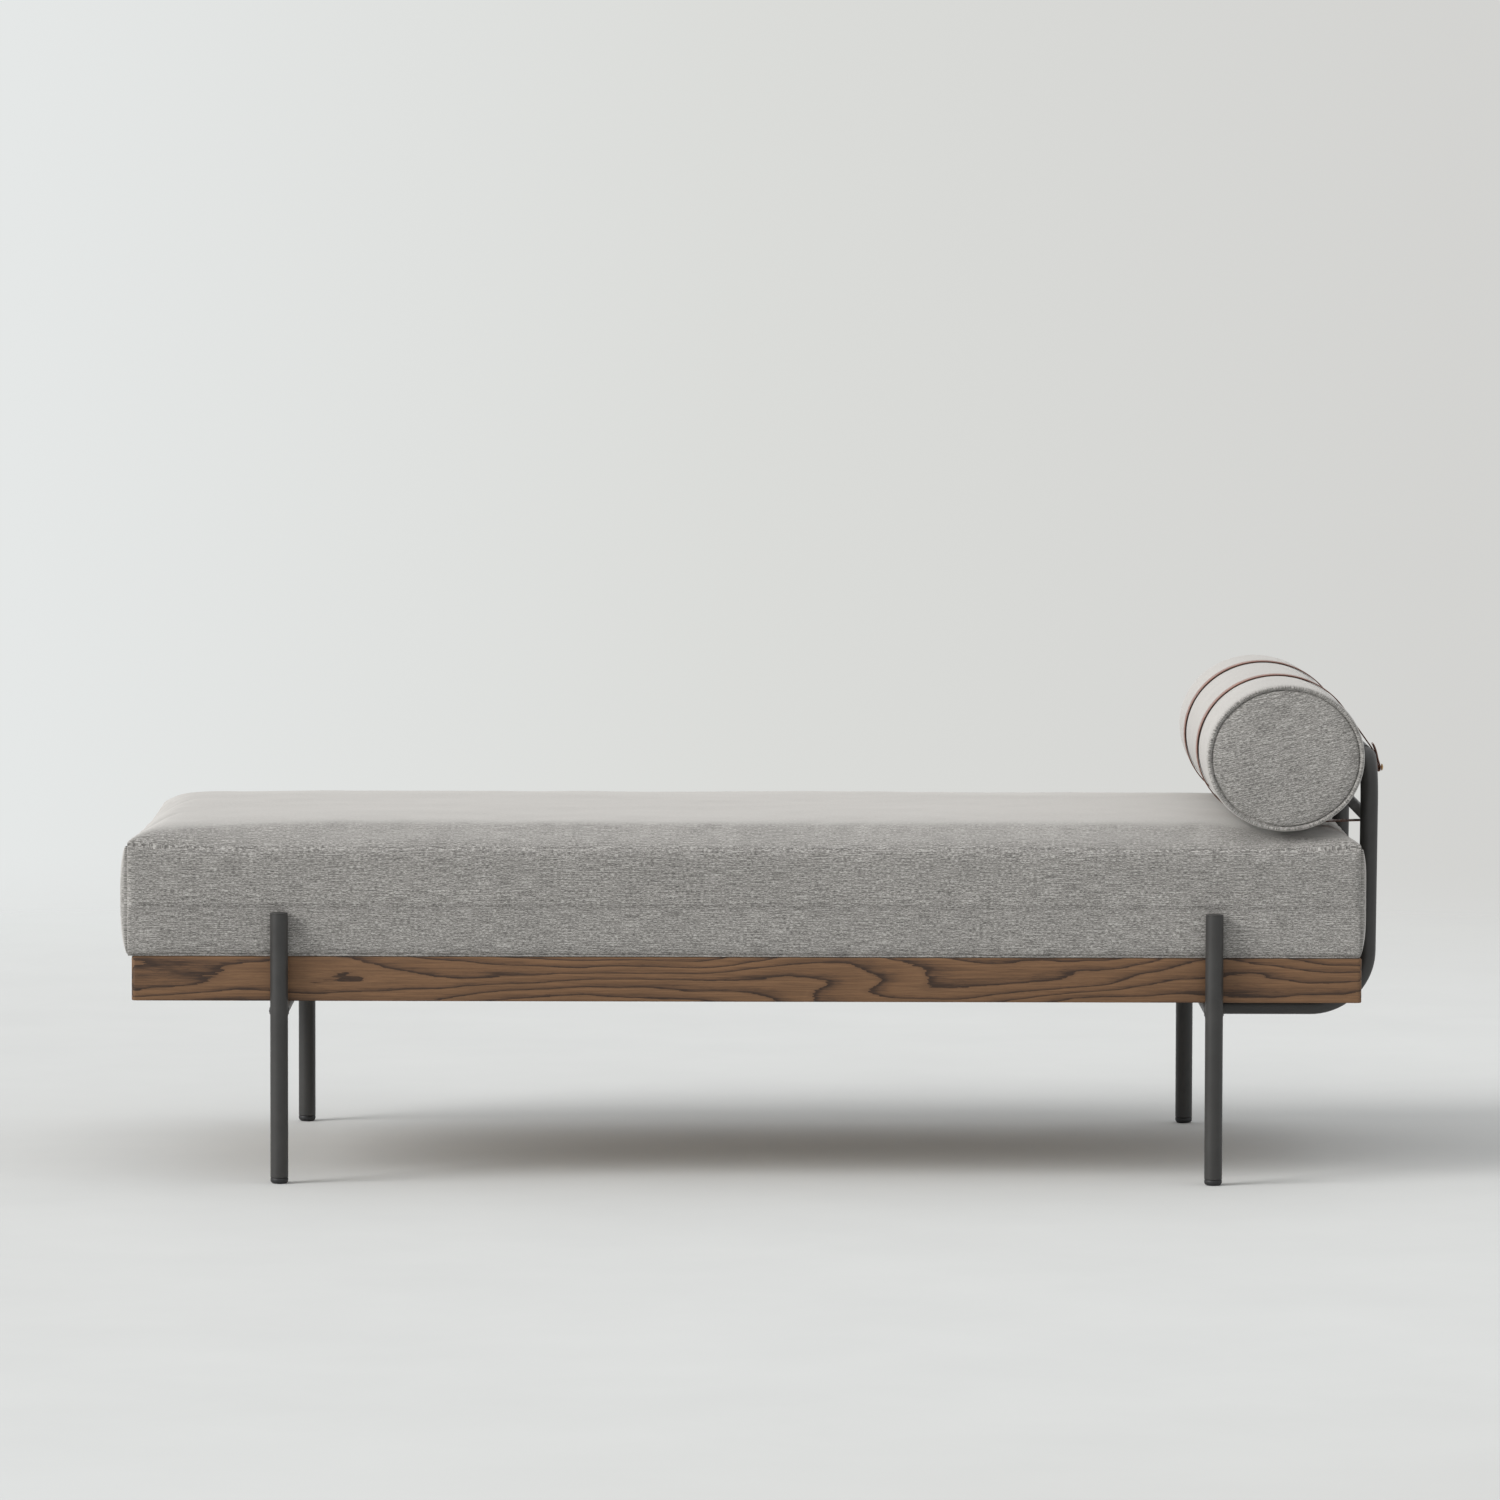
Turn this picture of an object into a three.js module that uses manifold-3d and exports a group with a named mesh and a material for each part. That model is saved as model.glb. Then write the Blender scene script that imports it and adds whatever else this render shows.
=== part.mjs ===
// A daybed: an oak platform on four outside tube legs, a box cushion, and a bolster that
// two leather straps hold against a bent tube head frame.
// Millimetres, +Z up, +X towards the bolster, origin on the floor under the middle.
import * as THREE from "three";
import { mergeVertices } from "three/addons/utils/BufferGeometryUtils.js";
import Module from "manifold-3d";

const wasm = await Module();
wasm.setup();

// ---- Driving dimensions ----

const CLEAR = 0.3; // gap kept between pieces that touch
const MITRE_CLEAR = 0.2;

// oak platform
const PLATFORM_LENGTH = 1720;
const PLATFORM_DEPTH = 750;
const RAIL_BOTTOM = 255;
const RAIL_HEIGHT = 62;
const RAIL_THICKNESS = 28;
const RAIL_CORNER_RADIUS = 6;
const RAIL_EDGE = 1.2;
const SLAT_COUNT = 10;
const SLAT_PITCH = 166;
const SLAT_WIDTH = 90;
const SLAT_THICKNESS = 18;
const CLEAT_HEIGHT = 22;
const CLEAT_THICKNESS = 20;
const BEAM_HEIGHT = 36;
const BEAM_WIDTH = 40;
const BLOCK_LEG = 50;
const BLOCK_HEIGHT = 36;

// steel tubes
const TUBE_RADIUS = 12.5;
const TUBE_WALL = 2;
const TUBE_SIDES = 24;
const LEG_X = 653;
const LEG_TOP = 380;
const CAP_THICKNESS = 1.8;
const CAP_STEM = 14;
const GLIDE_FOOT = 8;
const GLIDE_STEM = 18;
const GLIDE_ROUND = 5;
const UNDER_TUBE_Z = 242;

// head frame
const HEAD_HALF_WIDTH = 275;
const HEAD_FOOT_X = 873.6;
const HEAD_TOP_X = 876.6;
const HEAD_TOP_Z = 590;
const LOWER_BEND = 79;
const UPPER_BEND = 60;
const BEND_STEPS = 7;
const HEAD_TUBE_SIDES = 16;
const NOTCH_CLEAR = 1.3;
const LOWER_RAIL_Z = 505;
const LOWER_RAIL_RADIUS = 8;

// bolts
const BOLT_RADIUS = 3;
const BOLT_HEAD_RADIUS = 5;
const BOLT_HEAD_HEIGHT = 6;
const BOLT_LENGTH = 36;
const BOLT_HOLE_RADIUS = 3.4;
const LEG_BOLT_HEIGHTS = [268, 307];
const HEAD_BOLT_Z = 307;

// seat cushion
const SEAT_FOOT_END = -868;
const SEAT_HEAD_END = 860.5;
const SEAT_HALF_DEPTH = 374;
const SEAT_EDGE_Z = 470;
const SHOULDER_RISE = 29; // how high the rounded shoulder stands over the seam
const SHOULDER_RUN = 110;
const SHOULDER_POWER = 2.2;
const SHOULDER_ROOT = 0.7;
const CROWN_RISE = 9; // how much higher the middle swells
const CROWN_RUN = 240;
const END_GATHER = 0.7; // how far the cushion's stations gather towards its ends
const SEAT_END_BULGE = 6;
const SEAT_REST_Z = 487.5; // top of the cushion where the bolster presses it down
const BOLSTER_HOLLOW = 9; // how much wider than the bolster the pressed hollow is
const COVER_THICKNESS = 1.6;
const SEAT_ZIP_Z = 400;
const SEAT_ZIP_HALF_LENGTH = 620;

// bolster
const BOLSTER_X = 752.2;
const BOLSTER_Z = 597.5;
const BOLSTER_RX = 111.3;
const BOLSTER_RZ = 103;
const BOLSTER_HALF_LENGTH = 370;
const BOLSTER_EDGE = 9;
const BOLSTER_SIDES = 40;
const BOLSTER_ZIP_ANGLE = THREE.MathUtils.degToRad(-40);
const BOLSTER_ZIP_HALF_LENGTH = 280;

// zips
const ZIP_WIDTH = 5.4;
const ZIP_THICKNESS = 1.2;
const SLIDER_LENGTH = 10;
const SLIDER_WIDTH = 6.8;
const SLIDER_LIFT = 0.9;
const SLIDER_TOP = 4;
const PULL_WIDTH = 3.2;
const PULL_END = 26;

// straps
const STRAP_Y = 163;
const STRAP_WIDTH = 28;
const STRAP_THICKNESS = 2;
const STRAP_CLEAR_BOLSTER = 1.6;
const STRAP_CLEAR_RAIL = 0.6;
const STRAP_SAMPLES = 96;
const STUD_Z = 571;
const STUD_RADIUS = 2.2;
const STUD_HEAD = 5;

const RAIL_TOP = RAIL_BOTTOM + RAIL_HEIGHT;
const HALF_LENGTH = PLATFORM_LENGTH / 2;
const HALF_DEPTH = PLATFORM_DEPTH / 2;
const INNER_LENGTH = HALF_LENGTH - RAIL_THICKNESS;
const INNER_DEPTH = HALF_DEPTH - RAIL_THICKNESS;
const LEG_Y = HALF_DEPTH + TUBE_RADIUS + CLEAR;
const SLAT_BOTTOM = RAIL_TOP - SLAT_THICKNESS;
const SEAT_BOTTOM = RAIL_TOP + CLEAR;
const X = new THREE.Vector3(1, 0, 0);

// ---- Materials ----

const standard = (color, roughness, metalness) =>
  new THREE.MeshStandardMaterial({ color, roughness, metalness });
const oak = standard(0x5f4834, 0.55, 0);
const plainWood = standard(0xb59a74, 0.7, 0);
const blackSteel = standard(0x2f2e2d, 0.45, 0.4);
const boltSteel = standard(0x8a8b8d, 0.35, 1);
const blackPlastic = standard(0x1d1d1e, 0.6, 0);
const foam = standard(0xe6dfc8, 0.95, 0);
const tweed = standard(0x9b978f, 0.95, 0);
const zipGrey = standard(0x55534f, 0.6, 0);
const leather = standard(0x7a3d2a, 0.5, 0);
const brass = standard(0x8f6a3a, 0.35, 1);

// ---- Solids ----

const daybed = new THREE.Group();

function add(name, geometry, material) {
  const mesh = new THREE.Mesh(geometry, material);
  mesh.name = name;
  daybed.add(mesh);
  return mesh;
}

function toSolid(geometry) {
  const bare = geometry.index ? geometry.toNonIndexed() : geometry.clone();
  bare.deleteAttribute("normal");
  bare.deleteAttribute("uv");
  const merged = mergeVertices(bare, 1e-3);
  return new wasm.Manifold(
    new wasm.Mesh({
      numProp: 3,
      vertProperties: merged.attributes.position.array,
      triVerts: new Uint32Array(merged.index.array),
    }),
  );
}

function toGeometry(solid) {
  const { vertProperties, triVerts } = solid.getMesh();
  const geometry = new THREE.BufferGeometry();
  geometry.setAttribute("position", new THREE.BufferAttribute(vertProperties, 3));
  geometry.setIndex(new THREE.BufferAttribute(triVerts, 1));
  geometry.computeVertexNormals();
  return geometry;
}

const cut = (geometry, ...cutters) =>
  toGeometry(cutters.reduce((solid, c) => solid.subtract(toSolid(c)), toSolid(geometry)));
const common = (a, b) => toGeometry(toSolid(a).intersect(toSolid(b)));
const join = (a, b) => toGeometry(toSolid(a).add(toSolid(b)));

function box(x0, x1, y0, y1, z0, z1) {
  const geometry = new THREE.BoxGeometry(x1 - x0, y1 - y0, z1 - z0);
  return geometry.translate((x0 + x1) / 2, (y0 + y1) / 2, (z0 + z1) / 2);
}

// A board lying flat, with its long edges and ends eased.
function board(x0, x1, y0, y1, z0, z1, ease) {
  const outline = new THREE.Shape();
  outline.moveTo(x0, y0);
  outline.lineTo(x1, y0);
  outline.lineTo(x1, y1);
  outline.lineTo(x0, y1);
  outline.closePath();
  return upright(outline, z0, z1, ease);
}

// An outline in X and Y, raised from z0 to z1, with its edges eased.
function upright(outline, z0, z1, ease) {
  const geometry = new THREE.ExtrudeGeometry(outline, {
    depth: z1 - z0 - 2 * ease,
    bevelEnabled: ease > 0,
    bevelThickness: ease,
    bevelSize: ease,
    bevelOffset: -ease,
    bevelSegments: 1,
    curveSegments: 4,
  });
  return geometry.translate(0, 0, z0 + ease);
}

// A rod between two points, or a tube where it has an inner radius.
function rod(start, end, radius, inner = 0, sides = TUBE_SIDES) {
  const length = start.distanceTo(end);
  const profile = [
    [inner, 0],
    [radius, 0],
    [radius, length],
    [inner, length],
    [inner, 0],
  ].map(([r, y]) => new THREE.Vector2(r, y));
  const geometry = new THREE.LatheGeometry(inner ? profile : profile.slice(0, 4), sides);
  const turn = new THREE.Quaternion().setFromUnitVectors(
    new THREE.Vector3(0, 1, 0),
    end.clone().sub(start).normalize(),
  );
  return geometry.applyQuaternion(turn).translate(start.x, start.y, start.z);
}

const at = (x, y, z) => new THREE.Vector3(x, y, z);

// A path through straight runs and round bends, with a station at each end of a run
// and at even angles around each bend.
class BentPath extends THREE.Curve {
  constructor(corners, bends, stepsPerBend) {
    super();
    this.stations = [corners[0]];
    bends.forEach((radius, i) => {
      const corner = corners[i + 1];
      const inward = corners[i].clone().sub(corner).normalize();
      const onward = corners[i + 2].clone().sub(corner).normalize();
      const half = inward.angleTo(onward) / 2;
      const toCentre = inward.clone().add(onward).normalize();
      const centre = corner.clone().addScaledVector(toCentre, radius / Math.sin(half));
      const start = corner.clone().addScaledVector(inward, radius / Math.tan(half));
      const axis = inward.clone().cross(onward).normalize().negate();
      for (let k = 0; k <= stepsPerBend; k++) {
        const turned = (k / stepsPerBend) * (Math.PI - 2 * half);
        const spoke = start.clone().sub(centre).applyAxisAngle(axis, turned);
        this.stations.push(centre.clone().add(spoke));
      }
    });
    this.stations.push(corners[corners.length - 1]);
  }
  get steps() {
    return this.stations.length - 1;
  }
  getPoint(t, target = new THREE.Vector3()) {
    const place = Math.min(Math.max(t, 0), 1) * this.steps;
    const i = Math.min(Math.floor(place), this.steps - 1);
    return target.lerpVectors(this.stations[i], this.stations[i + 1], place - i);
  }
  getUtoTmapping(u) {
    return u;
  }
}

function bentTube(path, radius, inner, sides) {
  const ring = new THREE.Shape().absarc(0, 0, radius, 0, 2 * Math.PI);
  if (inner) ring.holes.push(new THREE.Path().absarc(0, 0, inner, 0, 2 * Math.PI));
  return new THREE.ExtrudeGeometry(ring, {
    steps: path.steps,
    curveSegments: sides / 2,
    extrudePath: path,
    bevelEnabled: false,
  });
}

// ---- Head frame path, which the head rail is notched for ----

const frameFloor = (side) => at(HEAD_FOOT_X, side * HEAD_HALF_WIDTH, UNDER_TUBE_Z);
const frameTop = (side) => at(HEAD_TOP_X, side * HEAD_HALF_WIDTH, HEAD_TOP_Z);
const armStart = (side) => at(LEG_X, side * HEAD_HALF_WIDTH, UNDER_TUBE_Z);
const headPath = new BentPath(
  [armStart(-1), frameFloor(-1), frameTop(-1), frameTop(1), frameFloor(1), armStart(1)],
  [LOWER_BEND, UPPER_BEND, UPPER_BEND, LOWER_BEND],
  BEND_STEPS,
);

// The X of the uprights' axis at a height.
function uprightX(z) {
  const share = (z - UNDER_TUBE_Z) / (HEAD_TOP_Z - UNDER_TUBE_Z);
  return THREE.MathUtils.lerp(HEAD_FOOT_X, HEAD_TOP_X, share);
}

// ---- Oak platform ----

const sides = { front: -1, back: 1 };
const ends = { foot: -1, head: 1 };

function roundedRectangle(halfX, halfY, radius) {
  const outline = new THREE.Shape();
  outline.absarc(halfX - radius, halfY - radius, radius, 0, Math.PI / 2);
  outline.absarc(radius - halfX, halfY - radius, radius, Math.PI / 2, Math.PI);
  outline.absarc(radius - halfX, radius - halfY, radius, Math.PI, 1.5 * Math.PI);
  outline.absarc(halfX - radius, radius - halfY, radius, 1.5 * Math.PI, 2 * Math.PI);
  outline.closePath();
  return outline;
}

function railRing() {
  const ring = roundedRectangle(HALF_LENGTH, HALF_DEPTH, RAIL_CORNER_RADIUS);
  const hole = new THREE.Path();
  hole.moveTo(-INNER_LENGTH, -INNER_DEPTH);
  hole.lineTo(-INNER_LENGTH, INNER_DEPTH);
  hole.lineTo(INNER_LENGTH, INNER_DEPTH);
  hole.lineTo(INNER_LENGTH, -INNER_DEPTH);
  hole.closePath();
  ring.holes.push(hole);
  return upright(ring, RAIL_BOTTOM, RAIL_TOP, RAIL_EDGE);
}

// The part of the ring on one side of the mitre lines through its corners.
function mitreWedge(longways, sign) {
  const reach = 60;
  const outer = [HALF_LENGTH + reach, HALF_DEPTH + reach];
  const inner = [HALF_LENGTH - reach, HALF_DEPTH - reach];
  const corners = longways
    ? [[-outer[0], outer[1]], [outer[0], outer[1]], [inner[0], inner[1]], [-inner[0], inner[1]]]
    : [[outer[0], -outer[1]], [outer[0], outer[1]], [inner[0], inner[1]], [inner[0], -inner[1]]];
  const outline = new THREE.Shape();
  corners.forEach(([x, y], i) => {
    const px = longways ? x : sign * (x + MITRE_CLEAR);
    const py = longways ? sign * (y + MITRE_CLEAR) : y;
    if (i) outline.lineTo(px, py);
    else outline.moveTo(px, py);
  });
  outline.closePath();
  return upright(outline, RAIL_BOTTOM - reach, RAIL_TOP + reach, 0);
}

// Bolt stations: the inner end of each bolt's shank and the way that it points.
function legBolts(sideY, endX) {
  return LEG_BOLT_HEIGHTS.map((z) => ({
    start: at(endX * LEG_X, sideY * (INNER_DEPTH - CLEAR), z),
    way: at(0, sideY, 0),
  }));
}
const headBolt = (sideY) => ({
  start: at(INNER_LENGTH - CLEAR, sideY * HEAD_HALF_WIDTH, HEAD_BOLT_Z),
  way: X.clone(),
});

function boltHole({ start, way }) {
  const from = start.clone().addScaledVector(way, -BOLT_HEAD_HEIGHT);
  const to = start.clone().addScaledVector(way, BOLT_LENGTH + 1);
  return rod(from, to, BOLT_HOLE_RADIUS, 0, 12);
}

// A socket head bolt along its way, with its head on the near side of the start.
function bolt({ start, way }) {
  const headTop = start.clone().addScaledVector(way, -BOLT_HEAD_HEIGHT);
  const tip = start.clone().addScaledVector(way, BOLT_LENGTH);
  const socketEnd = headTop.clone().addScaledVector(way, BOLT_HEAD_HEIGHT / 2);
  const outside = headTop.clone().addScaledVector(way, -1);
  const whole = join(rod(headTop, start, BOLT_HEAD_RADIUS, 0, 16), rod(start, tip, BOLT_RADIUS, 0, 12));
  return cut(whole, rod(outside, socketEnd, BOLT_HEAD_RADIUS / 2, 0, 6));
}

function buildPlatform() {
  const ring = railRing();
  for (const [side, sign] of Object.entries(sides)) {
    const holes = [...legBolts(sign, -1), ...legBolts(sign, 1)].map(boltHole);
    add(`rail_${side}`, cut(common(ring, mitreWedge(true, sign)), ...holes), oak);
  }
  add("rail_foot", common(ring, mitreWedge(false, -1)), oak);
  const notch = bentTube(headPath, TUBE_RADIUS + NOTCH_CLEAR, 0, HEAD_TUBE_SIDES);
  const headHoles = [headBolt(-1), headBolt(1)].map(boltHole);
  add("rail_head", cut(common(ring, mitreWedge(false, 1)), notch, ...headHoles), oak);

  for (const [end, signX] of Object.entries(ends))
    for (const [side, signY] of Object.entries(sides)) {
      const x = signX * (INNER_LENGTH - CLEAR);
      const y = signY * (INNER_DEPTH - CLEAR);
      const outline = new THREE.Shape();
      outline.moveTo(x, y);
      outline.lineTo(x - signX * BLOCK_LEG, y);
      outline.lineTo(x, y - signY * BLOCK_LEG);
      outline.closePath();
      const top = SLAT_BOTTOM - CLEAR;
      add(`corner_block_${end}_${side}`, upright(outline, top - BLOCK_HEIGHT, top, 0.8), plainWood);
    }

  const cleatEnd = INNER_LENGTH - BLOCK_LEG - 3 * CLEAR;
  const supportTop = SLAT_BOTTOM - CLEAR;
  for (const [side, sign] of Object.entries(sides)) {
    const outer = sign * (INNER_DEPTH - CLEAR);
    const inner = outer - sign * CLEAT_THICKNESS;
    const [y0, y1] = [Math.min(outer, inner), Math.max(outer, inner)];
    const cleat = board(-cleatEnd, cleatEnd, y0, y1, supportTop - CLEAT_HEIGHT, supportTop, 1);
    add(`slat_cleat_${side}`, cleat, plainWood);
  }
  const beamEnd = INNER_LENGTH - CLEAR;
  const beam = board(
    -beamEnd, beamEnd, -BEAM_WIDTH / 2, BEAM_WIDTH / 2, supportTop - BEAM_HEIGHT, supportTop, 1.5,
  );
  add("centre_beam", beam, plainWood);

  const slatEnd = INNER_DEPTH - CLEAR;
  for (let i = 0; i < SLAT_COUNT; i++) {
    const middle = (i - (SLAT_COUNT - 1) / 2) * SLAT_PITCH;
    const [x0, x1] = [middle - SLAT_WIDTH / 2, middle + SLAT_WIDTH / 2];
    const slat = board(x0, x1, -slatEnd, slatEnd, SLAT_BOTTOM, RAIL_TOP - CLEAR, 2);
    add(`slat_${String(i + 1).padStart(2, "0")}`, slat, plainWood);
  }
}

// ---- Legs ----

// A solid turned about a vertical axis from a profile of [radius, height].
function turned(profile, x, y, z, segments = TUBE_SIDES) {
  const points = profile.map(([r, h]) => new THREE.Vector2(r, h));
  const geometry = new THREE.LatheGeometry(points, segments);
  return geometry.rotateX(Math.PI / 2).translate(x, y, z);
}

function glideProfile() {
  const profile = [[0, 0]];
  for (let k = 0; k <= 3; k++) {
    const angle = -Math.PI / 2 + (k / 3) * (Math.PI / 2);
    profile.push([
      TUBE_RADIUS - GLIDE_ROUND + GLIDE_ROUND * Math.cos(angle),
      GLIDE_ROUND + GLIDE_ROUND * Math.sin(angle),
    ]);
  }
  const stem = TUBE_RADIUS - TUBE_WALL - CLEAR;
  profile.push([TUBE_RADIUS, GLIDE_FOOT], [stem, GLIDE_FOOT]);
  profile.push([stem, GLIDE_FOOT + GLIDE_STEM], [0, GLIDE_FOOT + GLIDE_STEM]);
  return profile;
}

function capProfile() {
  const stem = TUBE_RADIUS - TUBE_WALL - CLEAR;
  const under = LEG_TOP - CAP_THICKNESS;
  return [
    [0, under - CAP_STEM],
    [stem, under - CAP_STEM],
    [stem, under],
    [TUBE_RADIUS, under],
    [TUBE_RADIUS, LEG_TOP - 0.6],
    [TUBE_RADIUS - 0.6, LEG_TOP],
    [0, LEG_TOP],
  ];
}

function buildLegs() {
  for (const [end, signX] of Object.entries(ends)) {
    for (const [side, signY] of Object.entries(sides)) {
      const x = signX * LEG_X;
      const y = signY * LEG_Y;
      const bottom = GLIDE_FOOT + CLEAR;
      const top = LEG_TOP - CAP_THICKNESS - CLEAR;
      const post = rod(at(x, y, bottom), at(x, y, top), TUBE_RADIUS, TUBE_RADIUS - TUBE_WALL);
      const bolts = legBolts(signY, signX);
      add(`leg_post_${end}_${side}`, cut(post, ...bolts.map(boltHole)), blackSteel);
      add(`leg_cap_${end}_${side}`, turned(capProfile(), x, y, 0), blackSteel);
      add(`leg_glide_${end}_${side}`, turned(glideProfile(), x, y, 0), blackPlastic);
      bolts.forEach((station, i) => {
        const place = ["lower", "upper"][i];
        add(`leg_bolt_${end}_${side}_${place}`, bolt(station), boltSteel);
      });
    }
    const x = signX * LEG_X;
    const [saddleLow, saddleHigh] = [UNDER_TUBE_Z - 3 * TUBE_RADIUS, UNDER_TUBE_Z + 3 * TUBE_RADIUS];
    const tube = rod(
      at(x, -LEG_Y, UNDER_TUBE_Z), at(x, LEG_Y, UNDER_TUBE_Z), TUBE_RADIUS, TUBE_RADIUS - TUBE_WALL,
    );
    const saddles = [-1, 1].map((signY) =>
      rod(at(x, signY * LEG_Y, saddleLow), at(x, signY * LEG_Y, saddleHigh), TUBE_RADIUS + CLEAR),
    );
    add(`cross_tube_${end}`, cut(tube, ...saddles), blackSteel);
  }
}

// ---- Head frame ----

function buildHeadFrame() {
  const tube = bentTube(headPath, TUBE_RADIUS, TUBE_RADIUS - TUBE_WALL, HEAD_TUBE_SIDES);
  const saddle = rod(
    at(LEG_X, -LEG_Y, UNDER_TUBE_Z), at(LEG_X, LEG_Y, UNDER_TUBE_Z), TUBE_RADIUS + CLEAR,
  );
  const bolts = [headBolt(-1), headBolt(1)];
  add("head_frame_tube", cut(tube, saddle, ...bolts.map(boltHole)), blackSteel);
  Object.keys(sides).forEach((side, i) => add(`head_bolt_${side}`, bolt(bolts[i]), boltSteel));

  const x = uprightX(LOWER_RAIL_Z);
  const rail = rod(
    at(x, -HEAD_HALF_WIDTH, LOWER_RAIL_Z), at(x, HEAD_HALF_WIDTH, LOWER_RAIL_Z),
    LOWER_RAIL_RADIUS, LOWER_RAIL_RADIUS - TUBE_WALL, 16,
  );
  const saddles = [-1, 1].map((side) => rod(frameFloor(side), frameTop(side), TUBE_RADIUS + CLEAR));
  add("head_lower_rail", cut(rail, ...saddles), blackSteel);
}

// ---- Seat cushion ----

// How far the top has risen at a distance from a seam, from 0 to 1.
const risen = (distance, run, power) =>
  1 - Math.pow(1 - THREE.MathUtils.clamp(distance / run, 0, 1), power);
const shoulder = (distance) =>
  Math.pow(risen(distance, SHOULDER_RUN, SHOULDER_POWER), SHOULDER_ROOT);

// The height of the cushion's top, pressed down under the bolster and on to the head end.
function seatTop(x, y) {
  const fromEnd = Math.min(x - SEAT_FOOT_END, SEAT_HEAD_END - x);
  const fromSide = SEAT_HALF_DEPTH - Math.abs(y);
  const edge = Math.min(shoulder(fromEnd), shoulder(fromSide));
  const swell = risen(fromEnd, CROWN_RUN, 2) * risen(fromSide, CROWN_RUN, 2);
  const open = SEAT_EDGE_Z + SHOULDER_RISE * edge + CROWN_RISE * swell;
  const reach = BOLSTER_RX + BOLSTER_HOLLOW;
  const across = (BOLSTER_X - x) / reach;
  if (across >= 1) return open;
  const depth = BOLSTER_Z - SEAT_REST_Z;
  const under = BOLSTER_Z - depth * Math.sqrt(1 - Math.max(across, 0) ** 2);
  return Math.min(open, under);
}

// Moves a station from -1 to 1 towards the nearer end, where the top falls away.
const gather = (t) => (1 - END_GATHER) * t + END_GATHER * Math.sin((t * Math.PI) / 2);

// The cushion's outer surface, drawn in evenly by an inset.
function seatSolid(inset) {
  const geometry = new THREE.BoxGeometry(2, 2, 2, 26, 12, 2).toNonIndexed();
  const place = geometry.attributes.position;
  const middle = (SEAT_FOOT_END + SEAT_HEAD_END) / 2;
  const half = (SEAT_HEAD_END - SEAT_FOOT_END) / 2;
  for (let i = 0; i < place.count; i++) {
    const [a, b, c] = [place.getX(i), place.getY(i), place.getZ(i)];
    const [along, across] = [gather(a), gather(b)];
    const bulge = a === -1 ? SEAT_END_BULGE * (1 - c * c) * (1 - b ** 4) : 0;
    const x = middle + along * half;
    const top = seatTop(x, across * SEAT_HALF_DEPTH);
    const bottom = SEAT_BOTTOM + inset;
    const px = middle + along * (half - inset) - bulge;
    const py = across * (SEAT_HALF_DEPTH - inset);
    place.setXYZ(i, px, py, bottom + ((c + 1) / 2) * (top - inset - bottom));
  }
  return geometry;
}

// A zip's slider, standing just off the tape, with its pull tab lying along the zip.
function slider(along, out, up, place) {
  const [half, wide, narrow] = [SLIDER_LENGTH / 2, SLIDER_WIDTH / 2, PULL_WIDTH / 2];
  const body = box(-half, half, -wide, wide, SLIDER_LIFT, SLIDER_TOP);
  const pull = box(half - 1, PULL_END, -narrow, narrow, SLIDER_LIFT + 0.7, SLIDER_TOP - 1.2);
  const turn = new THREE.Matrix4().makeBasis(along, up, out).setPosition(place);
  return join(body, pull).applyMatrix4(turn);
}

function buildSeat() {
  const inner = seatSolid(COVER_THICKNESS);
  const z0 = SEAT_ZIP_Z - ZIP_WIDTH / 2;
  const z1 = SEAT_ZIP_Z + ZIP_WIDTH / 2;
  const reach = SEAT_ZIP_HALF_LENGTH;
  const slit = box(-reach, reach, SEAT_HALF_DEPTH - COVER_THICKNESS - 0.2, SEAT_HALF_DEPTH + 1, z0, z1);
  add("seat_foam", seatSolid(COVER_THICKNESS + CLEAR), foam);
  add("seat_cover", cut(seatSolid(0), inner, slit), tweed);
  const face = SEAT_HALF_DEPTH;
  const tape = box(
    CLEAR - reach, reach - CLEAR, face - ZIP_THICKNESS, face, z0 + CLEAR, z1 - CLEAR,
  );
  add("seat_zip", tape, zipGrey);
  const place = at(reach - 40, face, SEAT_ZIP_Z);
  add("seat_zip_slider", slider(X, at(0, 1, 0), at(0, 0, -1), place), brass);
}

// ---- Bolster ----

// The bolster's outer surface, drawn in evenly by an inset.
function bolsterSolid(inset) {
  const half = BOLSTER_HALF_LENGTH - inset;
  const profile = [[0, -half]];
  const corner = (sign, from) => {
    for (let k = 0; k <= 3; k++) {
      const angle = (from + (k / 3) * 90) * (Math.PI / 180);
      profile.push([
        BOLSTER_RX - inset - BOLSTER_EDGE + BOLSTER_EDGE * Math.cos(angle),
        sign * (half - BOLSTER_EDGE) + BOLSTER_EDGE * Math.sin(angle),
      ]);
    }
  };
  corner(-1, -90);
  corner(1, 0);
  profile.push([0, half]);
  const points = profile.map(([r, y]) => new THREE.Vector2(r, y));
  const squash = (BOLSTER_RZ - inset) / (BOLSTER_RX - inset);
  const geometry = new THREE.LatheGeometry(points, BOLSTER_SIDES).scale(1, 1, squash);
  return geometry.translate(BOLSTER_X, 0, BOLSTER_Z);
}

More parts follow.
